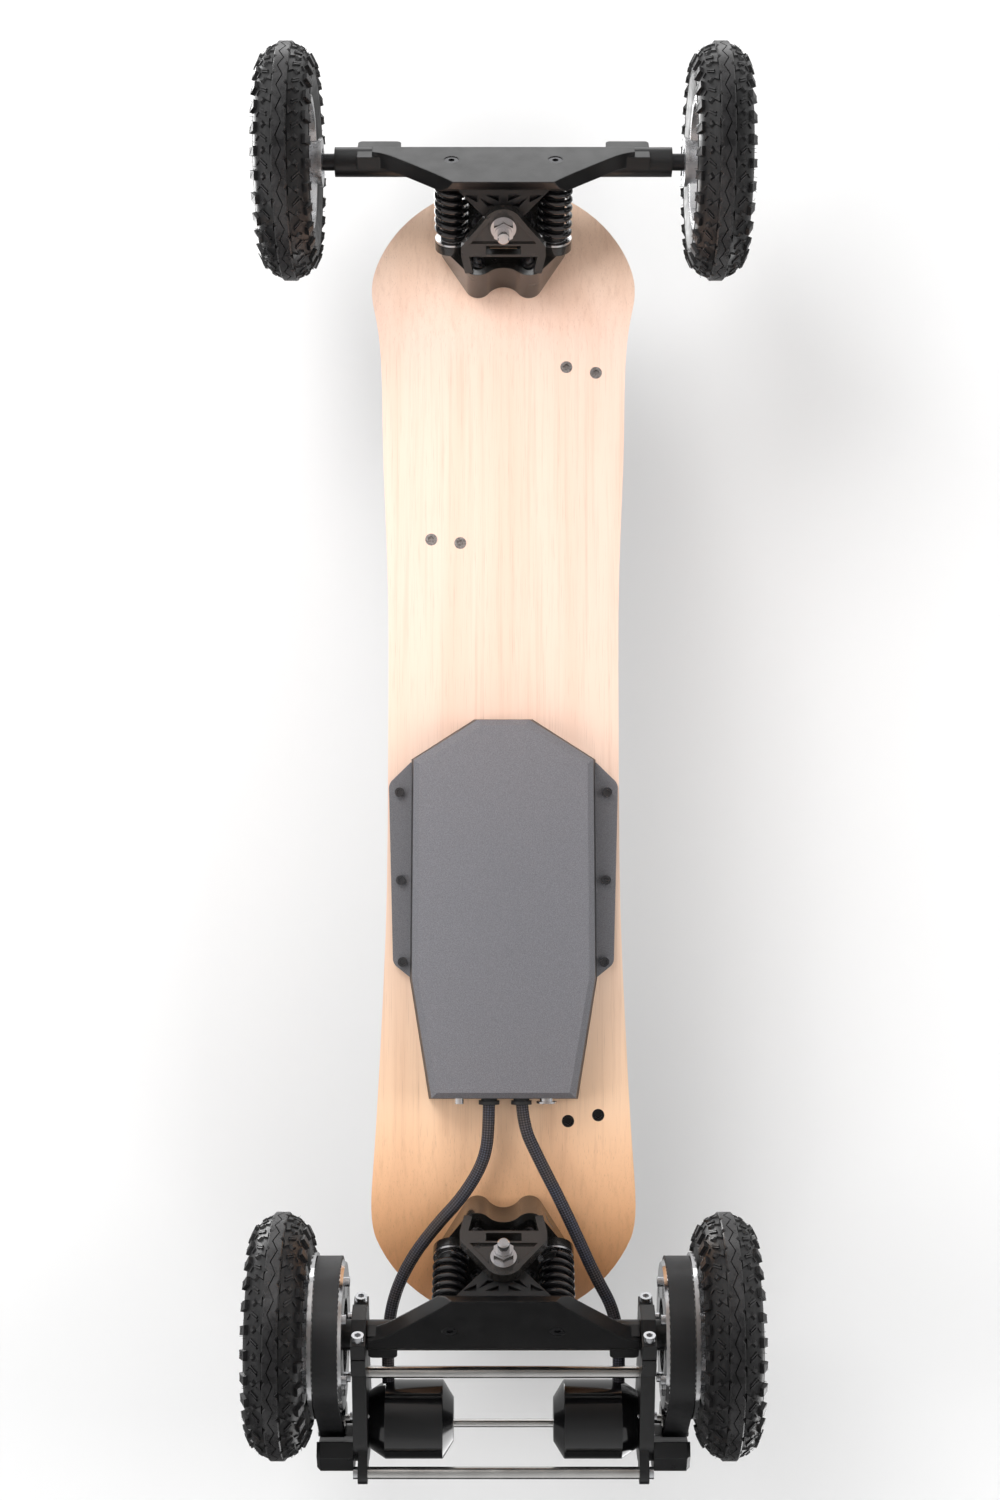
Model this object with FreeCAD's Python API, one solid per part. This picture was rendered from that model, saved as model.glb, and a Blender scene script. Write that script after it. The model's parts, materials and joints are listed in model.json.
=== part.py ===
import FreeCAD, Part
import math
import os
from FreeCAD import Vector

os.makedirs("parts", exist_ok=True)

# Electric skateboard with sprung trucks and 8-inch air tyres, in millimetres.
# +X is the front of the board, +Y the rider's left, +Z up. The tyres stand on Z = 0. Places are
# given from the middle of the wheelbase, and save() moves the origin under the whole board's middle.

ORIGIN = Vector(0, 0, 0)
X_AXIS = Vector(1, 0, 0)
Y_AXIS = Vector(0, 1, 0)
Z_AXIS = Vector(0, 0, 1)

# Fits
bearing_gap = 0.05          # radial running gap of a turning shaft in its bore
fixed_gap = 0.03            # radial gap of a bolt or axle in a hole that it does not turn in
seat_gap = 0.02             # gap between faces that are bolted together

# Wheels
tyre_radius = 100.0
tyre_half_width = 25.5
tread_depth = 2.6           # from the casing to the crown's running surface
casing_steps = 11           # facets of the casing's section on each side
band_half_width = 6.2       # smooth running band round the crown
knob_count = 28             # on each side, and as many lugs between them and the band
knob_angle = 64.0           # from the crown to the side knobs, round the tyre's section
lug_angle = 31.0
rim_radius = 52.0
rim_half_width = 20.0
rim_lip = 4.0
hub_radius = 20.5
hub_bore_radius = 14.0
bearing_width = 8.0
hub_inner_reach = 29.0      # from the wheel's middle to the hub's inboard end
hub_outer_reach = 19.5
spoke_count = 5
axle_x = 496.6              # half of the wheelbase
tube_half_length = 144.7    # half of the hanger's axle tube
spacer_length = 10.6        # from the tube's end to the hub
wheel_y = tube_half_length + spacer_length + hub_inner_reach

# Deck
deck_underside = 122.0
deck_thickness = 11.0
tip_angle = 15.0
tip_bend_x = 351.6          # where the flat underside and the tip's underside would meet
tip_bend_tangent = 30.0
tip_slope = math.radians(tip_angle)
nose_centre = 379.0
nose_radius = 117.0
nose_start_angle = 67.0
deck_stations = [(0.0, 98.5), (150.0, 99.6), (260.0, 104.0), (365.0, 110.2)]
grip_thickness = 1.2
grip_inset = 1.5
binding_screws = [(323.0, 54.5), (318.0, 80.0), (169.5, 37.0), (172.5, 62.0)]
binding_screw_radius = 3.0
binding_head_radius = 5.2

# Trucks: a = along the springs from the deck to the hanger, h = up along the kingpin
pivot_x = 460.3
pivot_z = 97.8
kingpin_angle = 45.0
kingpin_radius = 5.0
flange_height = 35.0        # half of the gap between the base's two flanges
flange_thickness = 10.0
flange_nose_radius = 17.0
flange_root_half_width = 36.0
flange_root_a = -18.0
hub_flange_gap = 0.4
base_rim_a = -43.0
base_floor = 8.0
base_wall = 7.5
wave_radius = 11.5          # the two rounded humps at the base's wave end
wave_y = 22.0
wave_reach = 5.0            # how far the humps stand past the base's start
wave_depth = 10.7           # from the humps' tops to the dip between them
base_shoulder_s = 37.0      # along the tip from the base's start
base_half_width = 54.0
base_back_s = 64.0
base_end_s = 86.0
base_end_half_width = 34.0
flange_edge_a = -27.3       # lower edge of the window's bridge
slot_top_a = -17.0
slot_half_width = 14.8
leg_width = 7.0
base_start = 40.8           # where the wave end starts, along the tip
spring_y = 44.0
spring_radius = 13.0        # to the middle of the wire
wire_radius = 2.0
spring_seat_a = -33.0
spring_seat_thickness = 3.0
spring_seat_radius = 15.2
spring_turns = 6.4
beam_back_a = 26.0
beam_face_a = 40.0
beam_top_h = 23.5
tab_inner_y = 88.0          # raised pads at the beam's ends
tab_top_h = 42.5
beam_bottom_h = -41.5
axle_a = (axle_x - pivot_x - (tyre_radius - pivot_z)) / math.sqrt(2)
axle_h = (axle_x - pivot_x + (tyre_radius - pivot_z)) / math.sqrt(2)
axle_radius = 6.0
base_bolt_places = [(66.0, 21.5), (104.0, 22.0)]
base_bolt_radius = 2.5
base_bolt_reach = 17.0      # the bolt's length past the base's floor
tube_radius = 12.5

# Rear drive
pulley_pitch = 5.0
driven_teeth = 78
motor_teeth = 16
belt_width = 20.0
belt_y = wheel_y - 40.3
belt_back = 2.2             # from the pitch line to the belt's back
belt_tooth_depth = 2.0
tooth_gap = 0.35            # from the pulley's tooth tips to the belt's inside
motor_x = 573.7
motor_z = 140.0
motor_radius = 32.2
motor_length = 71.0
motor_cone = 9.0
shaft_radius = 4.0
driven_flange = 3.5         # thickness of the driven pulley's bright outboard flange
bolt_circle = rim_radius - 9.0
driven_bore = 30.0
motor_base_length = 14.0    # the part of the motor that narrows to its mount
mount_inset = 19.7          # from the tube's end to the mount plate
plate_thickness = 12.0
plate_outer_y = tube_half_length - mount_inset
plate_inner_y = plate_outer_y - plate_thickness
motor_inner_y = plate_inner_y - motor_length
motor_base_y = plate_inner_y - motor_base_length
beam_end_y = plate_inner_y - 1.0
crossbar_radius = 5.0
thin_bar_radius = 3.5
bar_places = [(530.0, 116.0, crossbar_radius), (587.0, 184.0, thin_bar_radius),
              (612.6, 116.0, crossbar_radius)]
bar_boss = 4.0              # the mount plate's metal round each bar
front_reach = axle_x + tyre_radius
rear_reach = bar_places[2][0] + bar_places[2][2] + bar_boss

# Enclosure
case_top = deck_underside
case_bottom = 86.0
case_wall = 2.5
case_outline = [(17.3, 25.0), (-17.0, 78.5), (-203.0, 79.5), (-304.4, 63.0)]
case_edge_inset = 3.0
case_face_inset = 6.0
case_chamfer = 5.0
ear_thickness = 6.0
ear_corner_radius = 9.0
ear_outline = [(-20.0, 70.0), (-20.0, 79.0), (-38.0, 97.4), (-190.4, 93.4), (-202.0, 79.0), (-202.0, 70.0)]
case_screws = [(-45.5, 88.2), (-120.0, 87.0), (-189.0, 85.3)]

# Electronics
lid_gap = 5.0               # from the battery's top to the deck
pack_length = 178.0
pack_width = 120.0
pack_corner = 18.0
pack_nose_gap = 29.3        # from the enclosure's front end
controller_length = 78.0
controller_width = 96.0
controller_tail_gap = 26.4  # from the enclosure's rear end
slot_count = 9              # between the controller's cooling fins
slot_pitch = 8.0
slot_width = 3.0
slot_depth = 4.0

# Cables
cable_radius = 5.2
sleeve_wall = 1.5           # grommet round the cable
port_y = 36.0
button_y = -37.0
socket_z = 103.0            # height of the charge port and the button
port_radius = 6.0
button_radius = 4.0
button_travel = 1.5
right_route = [(-292, -12, 104), (-322, -12, 104), (-353, -15, 109), (-384, -33, 114), (-411, -58, 119),
               (-441, -80, 124), (-474, -94, 129), (-510, -98, 133.5), (-546, -97, 139)]
left_route = [(-292, 15, 104), (-322, 15, 104), (-354, 30, 109), (-387, 47, 115), (-420, 62.5, 120),
              (-452, 77, 125), (-481, 93, 130), (-513, 98, 134), (-546, 97, 139)]


# ---- helpers -------------------------------------------------------------------------------

def save(node, *shapes):
    """Write one node, made of one or more separate solids, with the whole board's middle at X = 0."""
    shape = shapes[0].copy() if len(shapes) == 1 else Part.makeCompound(list(shapes))
    shape.translate(Vector((rear_reach - front_reach) / 2, 0, 0))
    shape.exportStep("parts/" + node + ".step")


def block(x0, x1, y0, y1, z0, z1):
    return Part.makeBox(x1 - x0, y1 - y0, z1 - z0, Vector(x0, y0, z0))


def rod(start, direction, radius, length):
    return Part.makeCylinder(radius, length, start, direction)


def cross_rod(x, z, radius, y0, y1):
    """Cylinder that lies along Y."""
    return rod(Vector(x, y0, z), Y_AXIS, radius, y1 - y0)


def fuse(shapes):
    first = shapes[0]
    return first.multiFuse(shapes[1:]).removeSplitter() if len(shapes) > 1 else first


def cut(shape, tools):
    return shape.cut(Part.makeCompound(tools))


def prism(points, direction):
    """Extrude a closed polygon of vectors."""
    return Part.Face(Part.makePolygon(points + [points[0]])).extrude(direction)


def both_sides(shape):
    """A shape and its mirror image across the board's middle plane."""
    return [shape, shape.mirror(ORIGIN, Y_AXIS)]


def to_rear(shape):
    """Turn a front truck part round to the rear truck."""
    turned = shape.copy()
    turned.rotate(ORIGIN, Z_AXIS, 180)
    return turned


def to_truck(shape):
    """Move a part from truck axes (a, y, h) to the front truck's place."""
    placed = shape.copy()
    placed.rotate(ORIGIN, Y_AXIS, kingpin_angle)
    placed.translate(Vector(pivot_x, 0, pivot_z))
    return placed


def hex_prism(centre, direction, across_flats, length):
    """Six-sided nut or socket along any direction."""
    corner = across_flats / math.sqrt(3)
    turns = [math.pi * i / 3 for i in range(6)]
    points = [Vector(corner * math.cos(turn), corner * math.sin(turn), 0) for turn in turns]
    shape = prism(points, Vector(0, 0, length))
    shape.Placement = FreeCAD.Placement(centre, FreeCAD.Rotation(Z_AXIS, direction))
    return shape


def socket_screw(under_head, direction, shank_radius, shank_length, head_radius, head_height):
    """Cap screw: its head stands against direction, its shank runs along direction."""
    head = rod(under_head - direction * head_height, direction, head_radius, head_height)
    shank = rod(under_head, direction, shank_radius, shank_length)
    socket = hex_prism(under_head - direction * head_height, direction, head_radius, head_height * 0.6)
    return fuse([head, shank]).cut(socket)


def countersunk_screw(face_centre, direction, shank_radius, length, head_radius):
    """Flat-headed screw whose head is flush with a face."""
    head_depth = head_radius - shank_radius
    head = Part.makeCone(head_radius, shank_radius, head_depth, face_centre, direction)
    shank = rod(face_centre + direction * head_depth, direction, shank_radius, length - head_depth)
    socket = hex_prism(face_centre, direction, head_radius, head_depth * 0.9)
    return fuse([head, shank]).cut(socket)


# ---- deck ----------------------------------------------------------------------------------

tip_direction = Vector(math.cos(tip_slope), 0, math.sin(tip_slope))
bend_radius = tip_bend_tangent / math.tan(tip_slope / 2)
bend_start_x = tip_bend_x - tip_bend_tangent
deck_reach = nose_centre + nose_radius


def deck_profile(rise, thickness, reach):
    """Side view of a sheet that follows the deck, rise above the deck's underside."""
    def half_curve(level):
        radius = bend_radius - level
        centre = Vector(bend_start_x, 0, deck_underside + bend_radius)
        start = centre - Z_AXIS * radius
        middle = centre + Vector(math.sin(tip_slope / 2), 0, -math.cos(tip_slope / 2)) * radius
        end = centre + Vector(math.sin(tip_slope), 0, -math.cos(tip_slope)) * radius
        tip = end + tip_direction * ((reach - end.x) / tip_direction.x)
        return start, middle, end, tip

    def side_edges(level):
        start, middle, end, tip = half_curve(level)
        edges = [Part.makeLine(tip, end), Part.Arc(end, middle, start).toShape()]
        back = [Vector(-p.x, 0, p.z) for p in (start, middle, end, tip)]
        edges.append(Part.makeLine(start, back[0]))
        edges.append(Part.Arc(back[0], back[1], back[2]).toShape())
        edges.append(Part.makeLine(back[2], back[3]))
        return edges, tip, back[3]

    lower, lower_front, lower_back = side_edges(rise)
    upper, upper_front, upper_back = side_edges(rise + thickness)
    ends = [Part.makeLine(lower_front, upper_front), Part.makeLine(lower_back, upper_back)]
    return Part.Face(Part.Wire(Part.__sortEdges__(lower + upper + ends)))


def deck_outline(inset):
    """Plan view: waisted sides joined to a round nose and tail."""
    angle = math.radians(nose_start_angle)
    radius = nose_radius - inset
    nose_side = Vector(nose_centre + radius * math.cos(angle), radius * math.sin(angle), 0)
    side = [Vector(x, width - inset, 0) for x, width in deck_stations]
    half = side[1:] + [nose_side]
    points = [Vector(-p.x, p.y, 0) for p in reversed(half)] + [side[0]] + half
    curve = Part.BSplineCurve()
    curve.interpolate(points, InitialTangent=Vector(math.sin(angle), math.cos(angle), 0),
                      FinalTangent=Vector(math.sin(angle), -math.cos(angle), 0))
    left = curve.toShape()
    right = left.mirror(ORIGIN, Y_AXIS)
    nose_tip = Vector(nose_centre + radius, 0, 0)
    nose = Part.Arc(nose_side, nose_tip, Vector(nose_side.x, -nose_side.y, 0)).toShape()
    tail = nose.mirror(ORIGIN, X_AXIS)
    return Part.Face(Part.Wire(Part.__sortEdges__([left, nose, right, tail])))


def deck_sheet(rise, thickness, inset):
    side = deck_profile(rise, thickness, deck_reach + 10)
    slab = side.extrude(Vector(0, 300, 0))
    slab.translate(Vector(0, -150, 0))
    column = deck_outline(inset).extrude(Vector(0, 0, 200))
    column.translate(Vector(0, 0, deck_underside - 40))
    return slab.common(column)


# ---- truck axes ----------------------------------------------------------------------------

def tip_point(s, y, n):
    """World point: s along the front tip from its start, n below its underside."""
    start = Vector(tip_bend_x, 0, deck_underside)
    below = Vector(math.sin(tip_slope), 0, -math.cos(tip_slope))
    return start + tip_direction * s + below * n + Y_AXIS * y


tip_below = Vector(math.sin(tip_slope), 0, -math.cos(tip_slope))


def base_bolt_starts():
    """Upper ends of the four bolts of the front truck's base."""
    return [tip_point(s, side * y, -deck_thickness) for s, y in base_bolt_places for side in (-1, 1)]


def binding_places():
    """Screws for foot bindings: front pair, and the same pair turned round at the rear."""
    places = [(binding_screws[0][0], binding_screws[0][1]), (binding_screws[1][0], binding_screws[1][1])]
    places += [(binding_screws[2][0], -binding_screws[2][1]), (binding_screws[3][0], -binding_screws[3][1])]
    places += [(-x, y) for x, y in places[:2]]
    return places


# ---- deck nodes ----------------------------------------------------------------------------

def make_deck():
    board = deck_sheet(0, deck_thickness, 0)
    grip = deck_sheet(deck_thickness, grip_thickness, grip_inset)
    holes = []
    for start in base_bolt_starts():
        hole = rod(start - tip_below * 10, tip_below, base_bolt_radius + fixed_gap, deck_thickness + 20)
        head = rod(start - tip_below * 10, tip_below, base_bolt_radius * 2 + fixed_gap, 10 + 3)
        holes += [hole, to_rear(hole), head, to_rear(head)]
    for x, y in binding_places():
        holes.append(rod(Vector(x, y, deck_underside - 5), Z_AXIS, binding_screw_radius + fixed_gap, 25))
        holes.append(Part.makeCone(binding_head_radius + fixed_gap, binding_screw_radius + fixed_gap,
                                   binding_head_radius - binding_screw_radius,
                                   Vector(x, y, deck_underside), Z_AXIS))
    for x, y in case_screws:
        holes += both_sides(rod(Vector(x, y, deck_underside - 1), Z_AXIS, 2 + fixed_gap, 10))
    board = cut(board, holes)
    grip = cut(grip, holes)
    save("deck_board", board)
    save("grip_tape", grip)


def make_deck_hardware():
    bolts = []
    for start in base_bolt_starts():
        length = deck_thickness + base_floor + base_bolt_reach
        bolt = countersunk_screw(start, tip_below, base_bolt_radius, length, base_bolt_radius * 2)
        nut_start = start + tip_below * (deck_thickness + base_floor + seat_gap)
        nut = hex_prism(nut_start, tip_below, 3.4 * base_bolt_radius, 6)
        washer = rod(nut_start, tip_below, 2.3 * base_bolt_radius, 1.5)
        bolts += [fuse([bolt, nut, washer])]
    save("truck_bolts", *(bolts + [to_rear(b) for b in bolts]))
    screws = []
    for x, y in binding_places():
        screw = countersunk_screw(Vector(x, y, deck_underside), Z_AXIS, binding_screw_radius,
                                  deck_thickness, binding_head_radius)
        screws.append(screw)
    save("binding_screws", *screws)


def case_polygon(inset, level):
    """Enclosure outline at a level, drawn in by inset."""
    middle_x = (case_outline[0][0] + case_outline[-1][0]) / 2
    half_length = (case_outline[0][0] - case_outline[-1][0]) / 2
    right = []
    for x, y in case_outline:
        scaled_x = middle_x + (x - middle_x) * (1 - inset / half_length)
        right.append(Vector(scaled_x, y - inset, level))
    left = [Vector(p.x, -p.y, p.z) for p in reversed(right)]
    return Part.makePolygon(right + left + [right[0]])


def make_enclosure():
    top = case_top - seat_gap
    levels = [(0.0, top), (case_edge_inset, case_bottom + case_chamfer), (case_face_inset + 2, case_bottom)]
    outer = fuse([Part.makeLoft([case_polygon(*low), case_polygon(*high)], True, True)
                  for low, high in zip(levels, levels[1:])])
    inner_levels = [(case_wall, top), (case_edge_inset + case_wall, case_bottom + case_wall)]
    inner = Part.makeLoft([case_polygon(*level) for level in inner_levels], True, True)
    ears = []
    ear = prism([Vector(x, y, top - ear_thickness) for x, y in ear_outline], Vector(0, 0, ear_thickness))
    upright = [e for e in ear.Edges if abs(e.tangentAt(e.FirstParameter).z) > 0.9]
    ear = ear.makeFillet(ear_corner_radius, [e for e in upright if e.CenterOfMass.y > case_screws[0][1]])
    ears += both_sides(ear)
    shell = fuse([outer] + ears).cut(inner)
    screws = []
    holes = []
    for x, y in case_screws:
        under_head = Vector(x, y, top - ear_thickness - seat_gap)
        screws += both_sides(socket_screw(under_head, Z_AXIS, 2.0, ear_thickness + 8, 4.0, 4.0))
        holes += both_sides(rod(under_head - Z_AXIS, Z_AXIS, 2.0 + fixed_gap, ear_thickness + 2))
    rear_x = case_outline[-1][0]
    sleeve_radius = cable_radius + sleeve_wall
    for y in (right_route[0][1], left_route[0][1]):
        holes.append(rod(Vector(rear_x - 2, y, right_route[0][2]), X_AXIS, sleeve_radius + fixed_gap, 12))
    holes.append(rod(Vector(rear_x - 2, port_y, socket_z), X_AXIS, port_radius + fixed_gap, 12))
    holes.append(rod(Vector(rear_x - 2, button_y, socket_z), X_AXIS, button_radius + bearing_gap, 12))
    shell = cut(shell, holes)
    save("enclosure_shell", shell)
    save("enclosure_screws", *screws)


def make_electronics():
    front_x = case_outline[0][0]
    rear_x = case_outline[-1][0]
    floor_z = case_bottom + case_wall + seat_gap
    pack_front = front_x - pack_nose_gap
    half_pack = pack_width / 2
    pack = block(pack_front - pack_length, pack_front, -half_pack, half_pack, floor_z, case_top - lid_gap)
    corners = [e for e in pack.Edges if abs(e.tangentAt(e.FirstParameter).z) > 0.9]
    pack = pack.makeChamfer(pack_corner, [e for e in corners if e.CenterOfMass.x > pack_front - 1])
    start_x = rear_x + controller_tail_gap
    half_controller = controller_width / 2
    controller_top = case_top - lid_gap - 1
    controller = block(start_x, start_x + controller_length, -half_controller, half_controller, floor_z,
                       controller_top)
    slots = []
    for i in range(slot_count):
        slot_x = start_x + slot_pitch * (i + 1)
        slots.append(block(slot_x, slot_x + slot_width, -half_controller - 1, half_controller + 1,
                           controller_top - slot_depth, controller_top + 1))
    controller = cut(controller, slots)
    save("battery_pack", pack)
    save("motor_controller", controller)
    barrel = rod(Vector(rear_x - 0.5, port_y, socket_z), X_AXIS, port_radius, 14)
    flange = rod(Vector(rear_x - 2.0, port_y, socket_z), X_AXIS, port_radius + 2.5, 1.5)
    recess = rod(Vector(rear_x - 3, port_y, socket_z), X_AXIS, port_radius - 1.8, 10)
    pin = rod(Vector(rear_x - 0.5, port_y, socket_z), X_AXIS, 1.0, 8)
    save("charge_port", fuse([fuse([barrel, flange]).cut(recess), pin]))
    body = rod(Vector(rear_x - 2.5, button_y, socket_z), X_AXIS, button_radius, 10)
    stop = rod(Vector(rear_x + 7.5, button_y, socket_z), X_AXIS, button_radius + 1.5, 1.5)
    save("power_button", fuse([body, stop]))
    grommets = []
    for route in (right_route, left_route):
        centre = Vector(rear_x, route[0][1], route[0][2])
        outer = rod(centre - X_AXIS * 3, X_AXIS, cable_radius + 3.5, 3)
        sleeve = rod(centre, X_AXIS, cable_radius + sleeve_wall, 9)
        bore = rod(centre - X_AXIS * 5, X_AXIS, cable_radius + fixed_gap, 20)
        grommets.append(fuse([outer, sleeve]).cut(bore))
    save("cable_grommets", *grommets)


def cable(points):
    """Round cable: straight runs joined by tangent arcs."""
    points = [Vector(*p) for p in points]
    runs = [(points[i + 1] - points[i]).Length for i in range(len(points) - 1)]
    edges = []
    start = points[0]
    for i in range(1, len(points) - 1):
        before = (points[i - 1] - points[i]).normalize()
        after = (points[i + 1] - points[i]).normalize()
        half_turn = (math.pi - before.getAngle(after)) / 2
        reach = 0.45 * min(runs[i - 1], runs[i])
        bend = reach / math.tan(half_turn)
        arc_start = points[i] + before * reach
        arc_end = points[i] + after * reach
        bisector = (before + after).normalize()
        middle = points[i] + bisector * (math.hypot(reach, bend) - bend)
        edges.append(Part.makeLine(start, arc_start))
        edges.append(Part.Arc(arc_start, middle, arc_end).toShape())
        start = arc_end
    edges.append(Part.makeLine(start, points[-1]))
    wire = Part.Wire(edges)
    section = Part.Wire(Part.makeCircle(cable_radius, points[0], points[1] - points[0]))
    return wire.makePipeShell([section], True, True)


def make_cables():
    save("left_motor_cable", cable(left_route))
    save("right_motor_cable", cable(right_route))


# ---- truck base ----------------------------------------------------------------------------

def base_outline(inset):
    """Wave-ended outline of the base on the tip's underside, drawn in by inset."""
    def at(s, y):
        return tip_point(base_start + s, y, 0)

    def on_circle(centre, radius, angle):
        return centre[0] + radius * math.cos(angle), centre[1] + radius * math.sin(angle)
    hump = (wave_radius - wave_reach, wave_y)
    dip_s = wave_depth - wave_reach
    # the dip's circle touches both humps' circles
    run = hump[0] - dip_s
    dip_radius = (run ** 2 + wave_y ** 2 - wave_radius ** 2) / (2 * (wave_radius - run))
    dip = (dip_s - dip_radius, 0)
    touch = math.atan2(wave_y, hump[0] - dip[0])
    shoulder = (base_shoulder_s - hump[0], base_half_width - hump[1])
    side = math.atan2(shoulder[1], shoulder[0]) - math.asin(wave_radius / math.hypot(*shoulder))
    radius = wave_radius - inset
    middle_angle = (touch + math.pi + side + math.pi / 2) / 2
    start = on_circle(hump, radius, side + math.pi / 2)
    middle = on_circle(hump, radius, middle_angle)
    end = on_circle(hump, radius, touch + math.pi)
    edges = []
    for sign in (1, -1):
        edges.append(Part.Arc(*[at(s, sign * y) for s, y in (start, middle, end)]).toShape())
    edges.append(Part.Arc(at(*end), at(dip[0] + dip_radius + inset, 0), at(end[0], -end[1])).toShape())
    slope = math.tan(side)
    shoulder_y = base_half_width - inset
    shoulder_s = start[0] + (shoulder_y - start[1]) / slope
    half = [start, (shoulder_s, shoulder_y), (base_back_s, shoulder_y),
            (base_end_s - inset, base_end_half_width - inset)]
    corners = half + [(s, -y) for s, y in reversed(half)]
    edges += Part.makePolygon([at(s, y) for s, y in corners]).Edges
    return Part.Wire(Part.__sortEdges__(edges))


def flange(low, window):
    """One of the base's two flanges round the kingpin, in truck axes."""
    touch = math.radians(62)
    tangent = Vector(flange_nose_radius * math.cos(touch), flange_nose_radius * math.sin(touch), low)
    half = [tangent, Vector(flange_root_a, flange_root_half_width, low)]
    if window:
        # the bridge below the slot, and two legs that draw in to the wave end's wall
        foot_y = wave_y + wave_radius - leg_width
        half += [Vector(flange_edge_a, flange_root_half_width, low), Vector(base_rim_a - 30, foot_y, low),
                 Vector(base_rim_a - 30, foot_y - leg_width, low),
                 Vector(flange_edge_a, flange_root_half_width - leg_width, low)]
    else:
        half += [Vector(-110, flange_root_half_width, low)]
    plan = half + [Vector(p.x, -p.y, low) for p in reversed(half)]
    nose = rod(Vector(0, 0, low), Z_AXIS, flange_nose_radius, flange_thickness)
    plate = fuse([nose, prism(plan, Vector(0, 0, flange_thickness))])
    if not window:
        return plate
    slot = block(slot_top_a - 8, slot_top_a, -slot_half_width, slot_half_width,
                 low - 1, low + flange_thickness + 1)
    dish_half = [Vector(7, 10, low), Vector(-15, 28, low)]
    dish = prism(dish_half + [Vector(p.x, -p.y, low) for p in reversed(dish_half)], Vector(0, 0, 2.5))
    washer_pad = rod(Vector(0, 0, low), Z_AXIS, 12.5, 4)
    return plate.cut(slot).cut(dish.cut(washer_pad))


def make_base():
    depth = 90
    column = Part.Face(base_outline(0)).extrude(tip_below * depth)
    hollow = Part.Face(base_outline(base_wall)).extrude(tip_below * depth)
    hollow.translate(tip_below * base_floor)
    beyond_rim = to_truck(block(base_rim_a, 200, -150, 150, -200, 200))
    walls = column.cut(beyond_rim).cut(hollow)
    floor = Part.Face(base_outline(0)).extrude(tip_below * base_floor)
    seat_face = spring_seat_a - spring_seat_thickness - seat_gap
    seat = rod(Vector(-110, spring_y, 0), X_AXIS, spring_seat_radius, 110 + seat_face)
    lower = flange(-flange_height - flange_thickness, True)
    upper = flange(flange_height, False)
    inner = fuse([to_truck(p) for p in both_sides(seat) + [lower, upper]])
    body = fuse([walls, floor, inner.common(column), inner.common(beyond_rim)]).cut(above_tip())
    pin_reach = flange_height + flange_thickness + 35
    holes = [to_truck(rod(Vector(0, 0, -pin_reach), Z_AXIS, kingpin_radius + fixed_gap, 2 * pin_reach))]
    for start in base_bolt_starts():
        holes.append(rod(start, tip_below, base_bolt_radius + fixed_gap, deck_thickness + 60))
        holes.append(rod(start + tip_below * (deck_thickness + base_floor), tip_below, 8.0, 24))
    slot = [tip_point(s, y, -1) for s, y in ((80, -12), (80, 12), (86, 12), (86, -12))]
    holes.append(prism(slot, tip_below * 20))
    body = cut(body, holes)
    save("front_truck_base", body)
    save("rear_truck_base", to_rear(body))


def above_tip():
    """Everything above the front tip's underside."""
    corners = [tip_point(-150, -150, seat_gap), tip_point(250, -150, seat_gap),
               tip_point(250, 150, seat_gap), tip_point(-150, 150, seat_gap)]
    return prism(corners, tip_below * -150)


def make_kingpins():
    """Kingpin bolts, their nuts and washers, and the spring seat rings."""
    head_h = flange_height + flange_thickness
    head = hex_prism(Vector(0, 0, head_h), Z_AXIS, 16, 6)
    pin = fuse([head, rod(Vector(0, 0, -65), Z_AXIS, kingpin_radius, 65 + head_h)])
    tip = Part.makeCone(kingpin_radius - 1.2, kingpin_radius, 1.2, Vector(0, 0, -66.2), Z_AXIS)
    pin = to_truck(fuse([pin, tip]))
    face = -flange_height - flange_thickness
    washer = rod(Vector(0, 0, face - 2), Z_AXIS, 10.8, 2)
    nut = hex_prism(Vector(0, 0, face - 10), Z_AXIS, 16, 8)
    collar = rod(Vector(0, 0, face - 12), Z_AXIS, 7.2, 3)
    stack = fuse([washer, nut, collar]).cut(rod(Vector(0, 0, -90), Z_AXIS, kingpin_radius + fixed_gap, 90))
    nut = to_truck(stack)
    save("kingpins", pin, to_rear(pin))
    save("kingpin_nuts", nut, to_rear(nut))
    ring = rod(Vector(spring_seat_a - spring_seat_thickness, spring_y, 0), X_AXIS, spring_seat_radius,
               spring_seat_thickness)
    spigot = rod(Vector(spring_seat_a, spring_y, 0), X_AXIS, spring_radius - wire_radius - 0.6, 6)
    seat = fuse([ring, spigot])
    seats = [to_truck(s) for s in both_sides(seat)]
    save("spring_seats", *(seats + [to_rear(s) for s in seats]))


def make_springs():
    free_length = beam_back_a - spring_seat_a - 2 * wire_radius - 2 * seat_gap
    pitch = free_length / spring_turns
    helix = Part.makeHelix(pitch, free_length, spring_radius)
    section = Part.Wire(Part.makeCircle(wire_radius, Vector(spring_radius, 0, 0), Y_AXIS))
    coil = Part.Wire(helix).makePipeShell([section], True, True)
    coil.rotate(ORIGIN, Y_AXIS, 90)
    coil.translate(Vector(spring_seat_a + wire_radius + seat_gap, spring_y, 0))
    left = to_truck(coil)
    right = left.copy()
    right.translate(Vector(0, -2 * spring_y, 0))
    save("front_left_spring", left)
    save("front_right_spring", right)
    save("rear_left_spring", to_rear(right))
    save("rear_right_spring", to_rear(left))


# ---- hanger --------------------------------------------------------------------------------

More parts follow.
